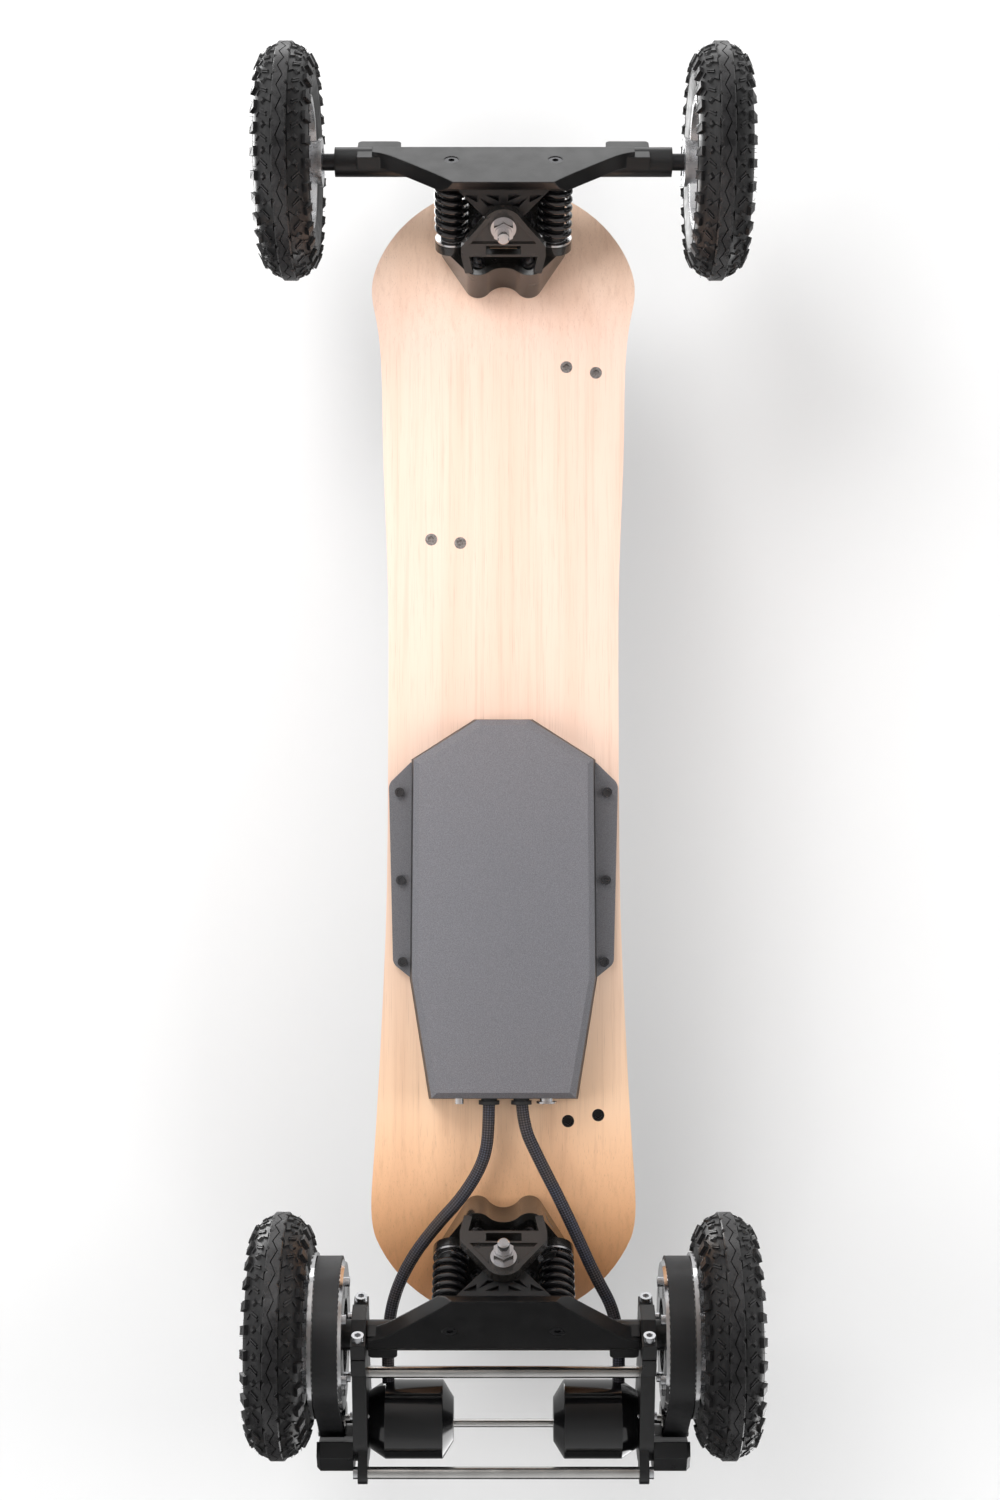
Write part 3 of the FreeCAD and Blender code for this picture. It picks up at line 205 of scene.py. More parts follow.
def make_stage():
    """Pale floor seen from above, and a pale wall behind the board seen from below."""
    top = CAD_BOX[1][2]
    stage_plane("floor", FLOOR_SIZE, -FLOOR_DROP, True, one_sided("floor_pale", FLOOR_TONE, True))
    stage_plane("backdrop", BACKDROP_SIZE, top + BACKDROP_GAP, False,
                one_sided("backdrop_pale", BACKDROP_TONE, False))


WORLD_REAR = 0.05           # strength of the light from behind the board
WORLD_FRONT = 0.75          # and from ahead of it
WORLD_BELOW = 0.04          # and from straight below, so that dark pieces stay dark
WORLD_SIDE_BAND = (-0.75, 0.75)
WORLD_LOW_BAND = (-0.85, -0.45)
UNDER_BOARD = (0, 0, 0.1)
WIDE = (1.4, 1.4)
LAMPS = [                   # name, place, target, size, watts
    ("key_below", (1.7, -1.0, -1.5), UNDER_BOARD, WIDE, 38),
    ("left_below", (0.0, 2.1, -1.4), UNDER_BOARD, WIDE, 25),
    ("right_below", (-0.2, -2.1, -1.4), UNDER_BOARD, WIDE, 25),
    ("rear_below", (-2.0, 0.4, -1.3), (-0.1, 0, 0.1), WIDE, 9),
    ("key_above", (1.2, -1.4, 2.0), UNDER_BOARD, WIDE, 34),
    ("front_card", (2.3, 0.0, 0.85), (0.5, 0, 0.06), (1.5, 0.8), 5),
    ("fill_above", (-1.6, 1.3, 1.6), UNDER_BOARD, WIDE, 16),
]


def make_world():
    """Soft light that falls off towards the rear and below; the camera sees one pale tone."""
    world = bpy.data.worlds.new("world")
    bpy.context.scene.world = world
    world.use_nodes = True
    nodes, links = world.node_tree.nodes, world.node_tree.links

    def spread(value, band, to_low, to_high):
        node = nodes.new("ShaderNodeMapRange")
        links.new(value, node.inputs["Value"])
        for name, amount in zip(("From Min", "From Max", "To Min", "To Max"), (*band, to_low, to_high)):
            node.inputs[name].default_value = amount
        return node.outputs[0]

    def blend(factor, first, value):
        node = nodes.new("ShaderNodeMix")
        links.new(factor, node.inputs["Factor"])
        links.new(first, node.inputs["A"])
        node.inputs["B"].default_value = value
        return node.outputs[0]

    background = nodes["Background"]
    background.inputs["Color"].default_value = (1, 1, 1, 1)
    direction = nodes.new("ShaderNodeTexCoord")
    parts = nodes.new("ShaderNodeSeparateXYZ")
    links.new(direction.outputs["Generated"], parts.inputs[0])
    fore = spread(parts.outputs["X"], WORLD_SIDE_BAND, WORLD_REAR, WORLD_FRONT)
    low = spread(parts.outputs["Z"], WORLD_LOW_BAND, 1.0, 0.0)
    path = nodes.new("ShaderNodeLightPath")
    seen = blend(path.outputs["Is Camera Ray"], blend(low, fore, WORLD_BELOW), FAR_PALE)
    links.new(seen, background.inputs["Strength"])


def make_lamp(name, place, target, size, power):
    data = bpy.data.lights.new(name, "AREA")
    data.shape = "RECTANGLE"
    data.size = size[0]
    data.size_y = size[1]
    data.energy = power
    lamp = bpy.data.objects.new(name, data)
    bpy.context.scene.collection.objects.link(lamp)
    lamp.location = place
    lamp.rotation_euler = (Vector(target) - Vector(place)).to_track_quat("-Z", "Y").to_euler()


def make_lights():
    make_world()
    for lamp in LAMPS:
        make_lamp(*lamp)
    bpy.context.scene.view_settings.view_transform = "Standard"


# ---- materials -------------------------------------------------------------------------------

class Shade:
    """One procedural material on a Principled shader, with short helpers for its nodes."""

    def __init__(self, name, colour=(0.5, 0.5, 0.5), roughness=0.5, metallic=0.0, scale=1.0):
        self.material, self.tree, output = new_material(name)
        self.shader = self.node("ShaderNodeBsdfPrincipled")
        self.set("Base Color", (*colour, 1))
        self.set("Roughness", roughness)
        self.set("Metallic", metallic)
        self.link(self.shader.outputs[0], output.inputs["Surface"])
        coordinates = self.node("ShaderNodeTexCoord")
        mapping = self.node("ShaderNodeMapping")
        self.link(coordinates.outputs["Object"], mapping.inputs["Vector"])
        mapping.inputs["Scale"].default_value = (scale, scale, scale)
        self.place = mapping.outputs[0]
        self.last_height = None

    def node(self, kind):
        return self.tree.nodes.new(kind)

    def link(self, source, target):
        self.tree.links.new(source, target)

    def set(self, socket, value):
        self.shader.inputs[socket].default_value = value

    def stretched(self, scale):
        mapping = self.node("ShaderNodeMapping")
        self.link(self.place, mapping.inputs["Vector"])
        mapping.inputs["Scale"].default_value = scale
        return mapping.outputs[0]

    def noise(self, scale, detail=4.0, rough=0.55, vector=None, distortion=0.0):
        noise = self.node("ShaderNodeTexNoise")
        self.link(vector or self.place, noise.inputs["Vector"])
        noise.inputs["Scale"].default_value = scale
        noise.inputs["Detail"].default_value = detail
        noise.inputs["Roughness"].default_value = rough
        noise.inputs["Distortion"].default_value = distortion
        return noise.outputs["Fac"]

    def ramp(self, factor, stops):
        ramp = self.node("ShaderNodeValToRGB")
        self.link(factor, ramp.inputs["Fac"])
        elements = ramp.color_ramp.elements
        while len(elements) < len(stops):
            elements.new(0.5)
        for element, (position, colour) in zip(elements, stops):
            element.position = position
            element.color = (*colour, 1)
        return ramp.outputs["Color"]

    def spread(self, factor, low, high, to_low, to_high):
        fit = self.node("ShaderNodeMapRange")
        self.link(factor, fit.inputs["Value"])
        for name, value in (("From Min", low), ("From Max", high), ("To Min", to_low), ("To Max", to_high)):
            fit.inputs[name].default_value = value
        return fit.outputs[0]

    def math(self, operation, first, second=None):
        node = self.node("ShaderNodeMath")
        node.operation = operation
        for slot, value in ((0, first), (1, second)):
            if value is None:
                continue
            if isinstance(value, (int, float)):
                node.inputs[slot].default_value = value
            else:
                self.link(value, node.inputs[slot])
        return node.outputs[0]

    def mix(self, factor, first, second, blend="MIX"):
        mix = self.node("ShaderNodeMix")
        mix.data_type = "RGBA"
        mix.blend_type = blend
        for name, value in (("Factor", factor), ("A", first), ("B", second)):
            socket = next(s for s in mix.inputs if s.name == name and s.enabled)
            if isinstance(value, (int, float)):
                socket.default_value = value
            elif isinstance(value, tuple):
                socket.default_value = (*value, 1)
            else:
                self.link(value, socket)
        return next(s for s in mix.outputs if s.enabled)

    def bump(self, height, distance, strength=0.4):
        bump = self.node("ShaderNodeBump")
        bump.inputs["Strength"].default_value = strength
        bump.inputs["Distance"].default_value = distance
        self.link(height, bump.inputs["Height"])
        if self.last_height is not None:
            self.link(self.last_height, bump.inputs["Normal"])
        self.last_height = bump.outputs[0]
        self.link(self.last_height, self.shader.inputs["Normal"])

    def rounded(self, radius):
        """Soften the edges' highlights, as a casting's or a bar's small radii do."""
        edge = self.node("ShaderNodeBevel")
        edge.samples = 4
        edge.inputs["Radius"].default_value = radius
        self.last_height = edge.outputs[0]
        self.link(self.last_height, self.shader.inputs["Normal"])

    def roughness_from(self, factor, low, high):
        self.link(self.spread(factor, 0.3, 0.7, low, high), self.shader.inputs["Roughness"])

    def colour_from(self, source):
        self.link(source, self.shader.inputs["Base Color"])


def painted(name, colour, roughness, grain_scale, grain_depth, coat=0.0, edge=0.0):
    """Powder coat or moulded finish: fine orange-peel bump and slight wear in its tone."""
    shade = Shade(name, colour, roughness)
    if edge:
        shade.rounded(edge)
    grain = shade.noise(grain_scale, 3.0)
    clouds = shade.noise(9.0, 3.0)
    dark = tuple(c * 0.82 for c in colour)
    light = tuple(min(1.0, c * 1.2) for c in colour)
    shade.colour_from(shade.ramp(clouds, [(0.35, dark), (0.65, light)]))
    shade.roughness_from(shade.noise(60.0), roughness * 0.85, min(1.0, roughness * 1.18))
    shade.bump(grain, grain_depth, 0.5)
    shade.set("Coat Weight", coat)
    shade.set("Coat Roughness", 0.12)
    return shade.material


def metal(name, colour, roughness, streak=(1, 1, 1), streak_depth=0.00002):
    """Plated, drawn or machined metal with fine streaks and fingerprints in its gloss."""
    shade = Shade(name, colour, roughness, 1.0)
    lines = shade.noise(260.0, 4.0, 0.6, shade.stretched(streak))
    smudge = shade.noise(35.0, 3.0)
    shade.roughness_from(smudge, roughness * 0.75, roughness * 1.35)
    shade.bump(lines, streak_depth, 0.35)
    shade.colour_from(shade.ramp(smudge, [(0.3, tuple(c * 0.88 for c in colour)), (0.7, colour)]))
    return shade.material


def dress(node, material):
    """Give a carried-over CAD node one material."""
    obj = frame["nodes"][node]
    for mesh_obj in [obj] + list(obj.children_recursive):
        if mesh_obj.type != "MESH":
            continue
        for slot_item in mesh_obj.material_slots:
            slot_item.link = "OBJECT"
            slot_item.material = material


def linear(red, green, blue, share=1.0):
    """Screen colour (0 to 255) as the linear colour that a surface needs under the stage's light."""
    def one(value):
        c = value / 255
        return share * (c / 12.92 if c <= 0.04045 else ((c + 0.055) / 1.055) ** 2.4)
    return one(red), one(green), one(blue)


DECK_UNDERSIDE = 0.122
DECK_THICKNESS = 0.011
BOARD_MIDDLE_X = 0.0125
TIP_BEND_X = 0.3516
TIP_BEND_SOFTNESS = 0.015
TIP_SLOPE = math.tan(math.radians(15))
PLIES = 7
SEAT_FACE = -0.033          # of the spring seats, along the springs from the steering pivot


def deck_wood():
    """Clear-coated maple ply: lengthwise grain on the faces, the plies' edges on the sides."""
    shade = Shade("deck_wood", (0.7, 0.5, 0.33), 0.42)
    parts = shade.node("ShaderNodeSeparateXYZ")
    shade.link(shade.place, parts.inputs[0])
    along, height = parts.outputs["X"], parts.outputs["Z"]
    tail_to_nose = shade.spread(along, -0.50, 0.52, 0.0, 1.0)
    # Colour along the board: the wood's own tone, with painted light where the stops near the tail and at the
    # nose are raised to lift the shade there
    tone = shade.ramp(tail_to_nose, [(0.0, linear(240, 160, 100)), (0.09, linear(254, 192, 138)),
                                     (0.2, linear(250, 212, 178)), (0.36, linear(248, 218, 196)),
                                     (0.62, linear(242, 212, 196)), (0.84, linear(242, 212, 196)),
                                     (0.93, linear(252, 218, 192)), (1.0, linear(253, 214, 184))])
    wide = shade.noise(1.0, 3.0, 0.5, shade.stretched((1.4, 30, 30)), 0.6)
    fine = shade.noise(1.0, 4.0, 0.62, shade.stretched((5.0, 260, 260)), 0.3)
    pores = shade.noise(1.0, 2.0, 0.5, shade.stretched((26, 1500, 1500)))
    grained = shade.mix(shade.spread(wide, 0.45, 0.65, 0.0, 0.16), tone, linear(205, 150, 112), "MIX")
    grained = shade.mix(shade.spread(fine, 0.5, 0.7, 0.0, 0.16), grained, linear(178, 122, 84), "MIX")
    grained = shade.mix(shade.spread(pores, 0.6, 0.72, 0.0, 0.22), grained, linear(140, 94, 62), "MIX")
    from_bend = shade.math("SUBTRACT", shade.math("ABSOLUTE", shade.math("SUBTRACT", along, BOARD_MIDDLE_X)),
                           TIP_BEND_X)
    root = shade.math("SQRT", shade.math("ADD", shade.math("MULTIPLY", from_bend, from_bend),
                                         TIP_BEND_SOFTNESS ** 2))
    rise = shade.math("MULTIPLY", shade.math("ADD", from_bend, root), TIP_SLOPE / 2)
    level = shade.math("SUBTRACT", shade.math("SUBTRACT", height, DECK_UNDERSIDE), rise)
    ply = shade.math("MULTIPLY", level, PLIES / DECK_THICKNESS)
    share = shade.math("PINGPONG", ply, 1.0)
    edge = shade.ramp(share, [(0.0, linear(120, 78, 50)), (0.12, linear(190, 140, 100)),
                              (0.85, linear(222, 180, 140)), (1.0, linear(204, 156, 114))])
    geometry = shade.node("ShaderNodeNewGeometry")
    facing = shade.node("ShaderNodeSeparateXYZ")
    shade.link(geometry.outputs["True Normal"], facing.inputs[0])
    side = shade.spread(shade.math("ABSOLUTE", facing.outputs["Z"]), 0.4, 0.7, 1.0, 0.0)
    shade.colour_from(shade.mix(side, grained, edge))
    shade.roughness_from(fine, 0.34, 0.5)
    shade.bump(fine, 0.00003, 0.4)
    shade.set("Coat Weight", 0.25)
    shade.set("Coat Roughness", 0.2)
    return shade.material


def grip_paper():
    """Coarse black abrasive with bright grit."""
    shade = Shade("grip_paper", (0.02, 0.02, 0.021), 0.85)
    cells = shade.node("ShaderNodeTexVoronoi")
    shade.link(shade.place, cells.inputs["Vector"])
    cells.inputs["Scale"].default_value = 1400
    grit = cells.outputs["Distance"]
    shade.colour_from(shade.ramp(grit, [(0.0, (0.07, 0.07, 0.075)), (0.3, (0.02, 0.02, 0.022)),
                                        (1.0, (0.008, 0.008, 0.009))]))
    shade.bump(grit, 0.0004, 0.8)
    return shade.material


def tyre_rubber():
    """Matt rubber with a few dusty patches."""
    shade = Shade("tyre_rubber", (0.02, 0.02, 0.021), 0.45)
    dust = shade.noise(26.0, 5.0, 0.62)
    specks = shade.noise(420.0, 3.0, 0.6)
    rubber = shade.ramp(specks, [(0.35, (0.006, 0.006, 0.0065)), (0.7, (0.013, 0.0125, 0.013))])
    shade.colour_from(shade.mix(shade.spread(dust, 0.62, 0.76, 0.0, 0.5), rubber, linear(66, 55, 47)))
    shade.roughness_from(shade.noise(90.0), 0.30, 0.48)
    shade.bump(specks, 0.00012, 0.5)
    return shade.material


def tread_rubber_and_sheen():
    """Rubber of the running band and the blocks' tops: worn and slightly shiny, its lighter tone partly a
    painted sheen.
    """
    shade = Shade("tread_rubber_and_sheen", (0.03, 0.03, 0.03), 0.4)
    scuffs = shade.noise(160.0, 4.0, 0.6)
    shade.colour_from(shade.ramp(scuffs, [(0.35, (0.018, 0.0175, 0.018)), (0.7, (0.034, 0.033, 0.034))]))
    shade.roughness_from(scuffs, 0.22, 0.38)
    shade.bump(scuffs, 0.00004, 0.4)
    return shade.material


def case_coat():
    """Fine-textured charcoal coat, with painted shade: darker on the ears that lie against the deck, and near
    black on the side walls.
    """
    shade = Shade("case_coat", (0.2, 0.2, 0.2), 0.5)
    parts = shade.node("ShaderNodeSeparateXYZ")
    shade.link(shade.place, parts.inputs[0])
    ear = shade.spread(parts.outputs["Z"], 0.108, 0.115, 0.0, 1.0)
    speckle = shade.noise(1300.0, 3.0, 0.6)
    face = shade.ramp(speckle, [(0.35, linear(100, 100, 105)), (0.7, linear(128, 128, 133))])
    # painted shade: the ears take a darker copy of the face's tone
    ear_painted_shade = shade.ramp(speckle, [(0.35, linear(92, 92, 96)), (0.7, linear(118, 118, 122))])
    geometry = shade.node("ShaderNodeNewGeometry")
    facing = shade.node("ShaderNodeSeparateXYZ")
    shade.link(geometry.outputs["True Normal"], facing.inputs[0])
    # painted shade: faces that turn sideways are coloured near black
    wall_painted_shade = shade.spread(shade.math("ABSOLUTE", facing.outputs["Z"]), 0.3, 0.62, 1.0, 0.0)
    outside = shade.mix(ear, face, ear_painted_shade)
    shade.colour_from(shade.mix(wall_painted_shade, outside, linear(36, 35, 36)))
    shade.roughness_from(shade.noise(50.0), 0.44, 0.58)
    shade.bump(speckle, 0.00025, 0.5)
    return shade.material


def seat_finish():
    """Spring seats: a bright face ring on a black seat, and a black spigot inside the coil."""
    shade = Shade("seat_ring", (0.7, 0.7, 0.7), 0.2, 1.0)
    parts = shade.node("ShaderNodeSeparateXYZ")
    shade.link(shade.place, parts.inputs[0])
    pivot = joint_place("front_steer")
    reach = shade.math("ABSOLUTE", shade.math("SUBTRACT", parts.outputs["X"], BOARD_MIDDLE_X))
    along = shade.math("SUBTRACT", shade.math("SUBTRACT", reach, pivot.x - BOARD_MIDDLE_X),
                       shade.math("SUBTRACT", parts.outputs["Z"], pivot.z))
    face = SEAT_FACE * math.sqrt(2)
    spigot = shade.math("MAXIMUM", shade.spread(along, face, face + 0.0004, 0.0, 1.0),
                        shade.spread(along, face - 0.0026, face - 0.0022, 1.0, 0.0))
    wear = shade.noise(500.0, 3.0)
    ring = shade.ramp(wear, [(0.35, (0.6, 0.6, 0.61)), (0.7, (0.78, 0.78, 0.8))])
    shade.colour_from(shade.mix(spigot, ring, (0.012, 0.012, 0.012)))
    shade.link(shade.spread(spigot, 0.0, 1.0, 1.0, 0.0), shade.shader.inputs["Metallic"])
    shade.roughness_from(wear, 0.16, 0.28)
    return shade.material


def screw_finish():
    """Binding screws: grey steel at the front and in the middle, black at the rear."""
    shade = Shade("binding_steel", (0.3, 0.3, 0.3), 0.35, 0.9)
    parts = shade.node("ShaderNodeSeparateXYZ")
    shade.link(shade.place, parts.inputs[0])
    front = shade.spread(parts.outputs["X"], -0.01, 0.01, 0.0, 1.0)
    wear = shade.noise(700.0, 3.0)
    grey = shade.ramp(wear, [(0.35, (0.20, 0.20, 0.20)), (0.7, (0.36, 0.36, 0.36))])
    shade.colour_from(shade.mix(front, (0.03, 0.03, 0.032), grey))
    shade.roughness_from(wear, 0.26, 0.42)
    return shade.material


def braided_sleeve():
    """Woven cable sleeve: strands that cross, from the tube's own round and long places."""
    shade = Shade("braided_sleeve", (0.05, 0.06, 0.08), 0.6)
    uv = shade.node("ShaderNodeUVMap")
    uv.uv_map = "UVMap"
    parts = shade.node("ShaderNodeSeparateXYZ")
    shade.link(uv.outputs[0], parts.inputs[0])
    around = shade.math("MULTIPLY", parts.outputs["X"], 2 * math.pi * 7)
    along = shade.math("MULTIPLY", parts.outputs["Y"], 2 * math.pi * 240)
    one = shade.math("SINE", shade.math("ADD", around, along))
    other = shade.math("SINE", shade.math("SUBTRACT", around, along))
    weave = shade.math("MULTIPLY", one, other)
    tone = shade.noise(40.0, 3.0)
    dark = shade.ramp(tone, [(0.3, (0.006, 0.006, 0.008)), (0.7, (0.012, 0.010, 0.010))])
    light = shade.ramp(tone, [(0.3, linear(72, 78, 98)), (0.7, linear(92, 82, 78))])
    shade.colour_from(shade.mix(shade.spread(weave, -0.3, 0.6, 0.0, 1.0), dark, light))
    shade.bump(weave, 0.0004, 0.7)
    return shade.material


def finishes():
    """Every material slot's finish."""
    return {
        "deck_wood": deck_wood(),
        "grip": grip_paper(),
        "cast_black": painted("cast_black", (0.003, 0.003, 0.0034), 0.34, 700.0, 0.00008, 0.1, 0.0016),
        "case_grey": case_coat(),
        "zinc": metal("zinc_plate", (0.66, 0.67, 0.69), 0.2),
        "black_screw": metal("black_oxide", (0.09, 0.09, 0.094), 0.26),
        "spring_gloss": painted("spring_gloss", (0.008, 0.008, 0.009), 0.2, 200.0, 0.00002, 0.8),
        "chrome": metal("chrome_plate", (0.82, 0.82, 0.83), 0.1, (1, 1, 1), 0.000005),
        "rim_alloy": metal("rim_alloy", (0.74, 0.74, 0.75), 0.24),
        "tyre_rubber": tyre_rubber(),
        "belt_rubber": painted("belt_rubber", (0.012, 0.012, 0.013), 0.42, 900.0, 0.00008),
        "motor_black": painted("motor_gloss", (0.002, 0.002, 0.0024), 0.14, 120.0, 0.00001, 0.4, 0.0008),
        "mount_black": painted("mount_black", (0.005, 0.005, 0.0055), 0.32, 600.0, 0.00005, 0.1, 0.0008),
        "bar_steel": metal("drawn_steel", (0.72, 0.71, 0.69), 0.2, (1, 0.04, 1)),
        "sleeve": braided_sleeve(),
        "grommet_rubber": painted("grommet_rubber", linear(30, 30, 31), 0.6, 500.0, 0.0001),
        "cell_wrap": painted("cell_wrap", (0.05, 0.16, 0.3), 0.3, 90.0, 0.00005),
        "controller": metal("controller_alloy", (0.3, 0.3, 0.31), 0.42),
    }


def dress_nodes(finish):
    """Give each carried-over node its slot's finish, and a few nodes one of their own."""
    own = {
        "front_truck_base": painted("base_black", (0.012, 0.011, 0.010), 0.24, 800.0, 0.00005, 0.7, 0.0012),
        "binding_screws": screw_finish(),
        "truck_bolts": metal("stud_steel", (0.34, 0.34, 0.35), 0.24),
        "spring_seats": seat_finish(),
        "front_axle_hardware": metal("dark_plate", (0.05, 0.05, 0.052), 0.34),
        "left_driven_pulley": metal("pulley_plate", (0.78, 0.78, 0.79), 0.13),
    }
    own["rear_truck_base"] = own["front_truck_base"]
    own["rear_axle_hardware"] = own["front_axle_hardware"]
    own["right_driven_pulley"] = own["left_driven_pulley"]
    for part in frame["record"]["subparts"]:
        node = part["node"]
        dress(node, own.get(node, finish[part["material_slot"]]))


# ---- meshes ----------------------------------------------------------------------------------

class Skin:
    """Points and faces gathered piece by piece; each face has its material number and its UVs."""

    def __init__(self):
        self.points = []
        self.faces = []
        self.kinds = []
        self.smooth = []
        self.places = []

    def face(self, corners, kind=0, smooth=True, places=None):
        self.faces.append(corners)
        self.kinds.append(kind)
        self.smooth.append(smooth)
        self.places.extend(places or [(0.0, 0.0)] * len(corners))

    def grid(self, rows, kind=0, closed=False, around=False, smooth=True, lengths=None):
        """Faces over rows of points; closed joins the last row to the first, around each row's ends."""
        start = len(self.points)
        width = len(rows[0])
        count = len(rows)
        for row in rows:
            self.points.extend(row)
        for i in range(count if closed else count - 1):
            low = start + i * width
            high = start + (i + 1) % count * width
            for j in range(width if around else width - 1):
                k = (j + 1) % width
                places = None
                if lengths:
                    u0, u1, v0, v1 = j / width, (j + 1) / width, lengths[i], lengths[i + 1]
                    places = [(u0, v0), (u1, v0), (u1, v1), (u0, v1)]
                self.face((low + j, low + k, high + k, high + j), kind, smooth, places)
        return start

    def tube(self, path, radius, sides, kind=0):
        """Round tube with closed ends along a path; radius is one value or one for each point."""
        radii = radius if isinstance(radius, list) else [radius] * len(path)
        rings = []
        lengths = [0.0]
        across = None
        for i, point in enumerate(path):
            ahead = (path[min(i + 1, len(path) - 1)] - path[max(i - 1, 0)]).normalized()
            across = across or ahead.orthogonal()
            across = (across - ahead * across.dot(ahead)).normalized()
            up = ahead.cross(across)
            turns = [k * 2 * math.pi / sides for k in range(sides)]
            rings.append([point + (across * math.cos(t) + up * math.sin(t)) * radii[i] for t in turns])
            if i:
                lengths.append(lengths[-1] + (point - path[i - 1]).length)
        start = self.grid(rings, kind, around=True, lengths=lengths)
        last = start + (len(rings) - 1) * sides
        self.face(tuple(start + k for k in reversed(range(sides))), kind, False)
        self.face(tuple(last + k for k in range(sides)), kind, False)

    def make(self, name, materials):
        mesh = bpy.data.meshes.new(name)
        mesh.from_pydata([tuple(point) for point in self.points], [], self.faces)
        for material in materials:
            mesh.materials.append(material)
        for polygon, kind, smooth in zip(mesh.polygons, self.kinds, self.smooth):
            polygon.material_index = kind
            polygon.use_smooth = smooth
        layer = mesh.uv_layers.new(name="UVMap")
        for corner, place in zip(layer.data, self.places):
            corner.uv = place
        obj = bpy.data.objects.new(name, mesh)
        bpy.context.scene.collection.objects.link(obj)
        return obj


# ---- tyres -----------------------------------------------------------------------------------

PITCHES = 28                # the tread's repeats round the tyre
CASING_RADIUS = 0.0231
CASING_MIDDLE = 0.0743      # of the casing's section, from the axle
WALL_ANGLE = 112.0          # of the casing's edges, round its section from the crown
CASING_FACETS = 36
CASING_TURNS = 6            # of the casing's rows in one pitch
BEAD = [(0.0205, 0.0600), (0.0180, 0.0562)]
BAND_HALF_WIDTH = 0.0062
BAND_RADIUS = 0.1
GROOVE_SWING = 0.0023
NOTCH_DEPTH = 0.0019
STEPS = 8                   # of the band in one pitch
KNOB = [(-0.0040, -0.0046), (0.0040, -0.0046), (0.0040, 0.0052), (0.0019, 0.0034), (-0.0019, 0.0034),
        (-0.0040, 0.0052)]
KNOB_TILT = 64
STAR_TILT = 35
RIDGE_TILT = 33
RIDGE_SHIFT = 0.0014
WEDGE = [(-0.0048, -0.0020), (0.0048, -0.0020), (0.0, 0.0036)]
WEDGE_TILT = 20.5
WEB_TILT = 50
RING_TILTS = (84.0, 90.0)   # of the thin moulded rings on the walls
RING_STEPS = 120
HAIRS = 260
HAIR_TILTS = (24, 96)
HAIR_REACH = (0.0018, 0.0042)


def tyre_point(turn, tilt, height):
    """Point in a tyre's own axes: turn round the axle, tilt round the section from its crown."""
    section = CASING_RADIUS + height
    radial = CASING_MIDDLE + section * math.cos(tilt)
    return Vector((radial * math.cos(turn), section * math.sin(tilt), radial * math.sin(turn)))


def tread_block(skin, turn, tilt, outline, heights, shrink, kind):
    """Raised block with drawn-in sides; outline is (along the tread, across it) seen from outside."""
    radial = CASING_MIDDLE + CASING_RADIUS * math.cos(tilt)
    side = 1 if tilt > 0 else -1
    rings = []
    for height, share in zip(heights, (1.0, shrink)):
        ring = [tyre_point(turn + share * u / radial, tilt + side * share * v / CASING_RADIUS, height)
                for u, v in outline]
        rings.append(ring[::-side])
    start = skin.grid(rings, kind, around=True, smooth=False)
    count = len(outline)
    # The top face takes the lighter tread rubber, partly a painted sheen
    skin.face(tuple(start + count + k for k in range(count)), 1, False)


def turned(outline, angle, along=0.0, across=0.0):
    """Outline turned by an angle in degrees and moved."""
    c, s = math.cos(math.radians(angle)), math.sin(math.radians(angle))
    return [(u * c - v * s + along, u * s + v * c + across) for u, v in outline]


def bar(length, width):
    """Outline of a straight bar about its middle."""
    u, v = length / 2, width / 2
    return [(-u, -v), (u, -v), (u, v), (-u, v)]


def band_rows():
    """Running band: flat satin tread with a zigzag groove and notched edges."""
    rows = []
    count = PITCHES * STEPS
    for i in range(count):
        turn = i * 2 * math.pi / count
        step = i % STEPS
        swing = GROOVE_SWING * (abs(step - STEPS / 2) / (STEPS / 4) - 1)
        left = BAND_HALF_WIDTH - (NOTCH_DEPTH if step == 1 else 0.0)
        right = BAND_HALF_WIDTH - (NOTCH_DEPTH if step == STEPS // 2 + 1 else 0.0)
        root, shoulder, groove = BAND_RADIUS - 0.0035, BAND_RADIUS - 0.0009, BAND_RADIUS - 0.0018
        section = [(-left, root), (-left, shoulder), (-left + 0.0009, BAND_RADIUS),
                   (swing - 0.0005, BAND_RADIUS), (swing - 0.0003, groove),
                   (swing + 0.0003, groove), (swing + 0.0005, BAND_RADIUS),
                   (right - 0.0009, BAND_RADIUS), (right, shoulder), (right, root)]
        rows.append([Vector((r * math.cos(turn), y, r * math.sin(turn))) for y, r in section])
    return rows


def casing_rows():
    """Round casing from bead to bead, one row for each step round the axle."""
    tilts = [math.radians(-WALL_ANGLE + k * 2 * WALL_ANGLE / CASING_FACETS)
             for k in range(CASING_FACETS + 1)]
    count = PITCHES * CASING_TURNS
    rows = []
    for i in range(count):
        turn = i * 2 * math.pi / count
        row = [tyre_point(turn, tilt, 0.0) for tilt in tilts]
        beads = [Vector((r * math.cos(turn), y, r * math.sin(turn))) for y, r in BEAD]
        rows.append([Vector((p.x, -p.y, p.z)) for p in reversed(beads)] + row + beads)
    return rows


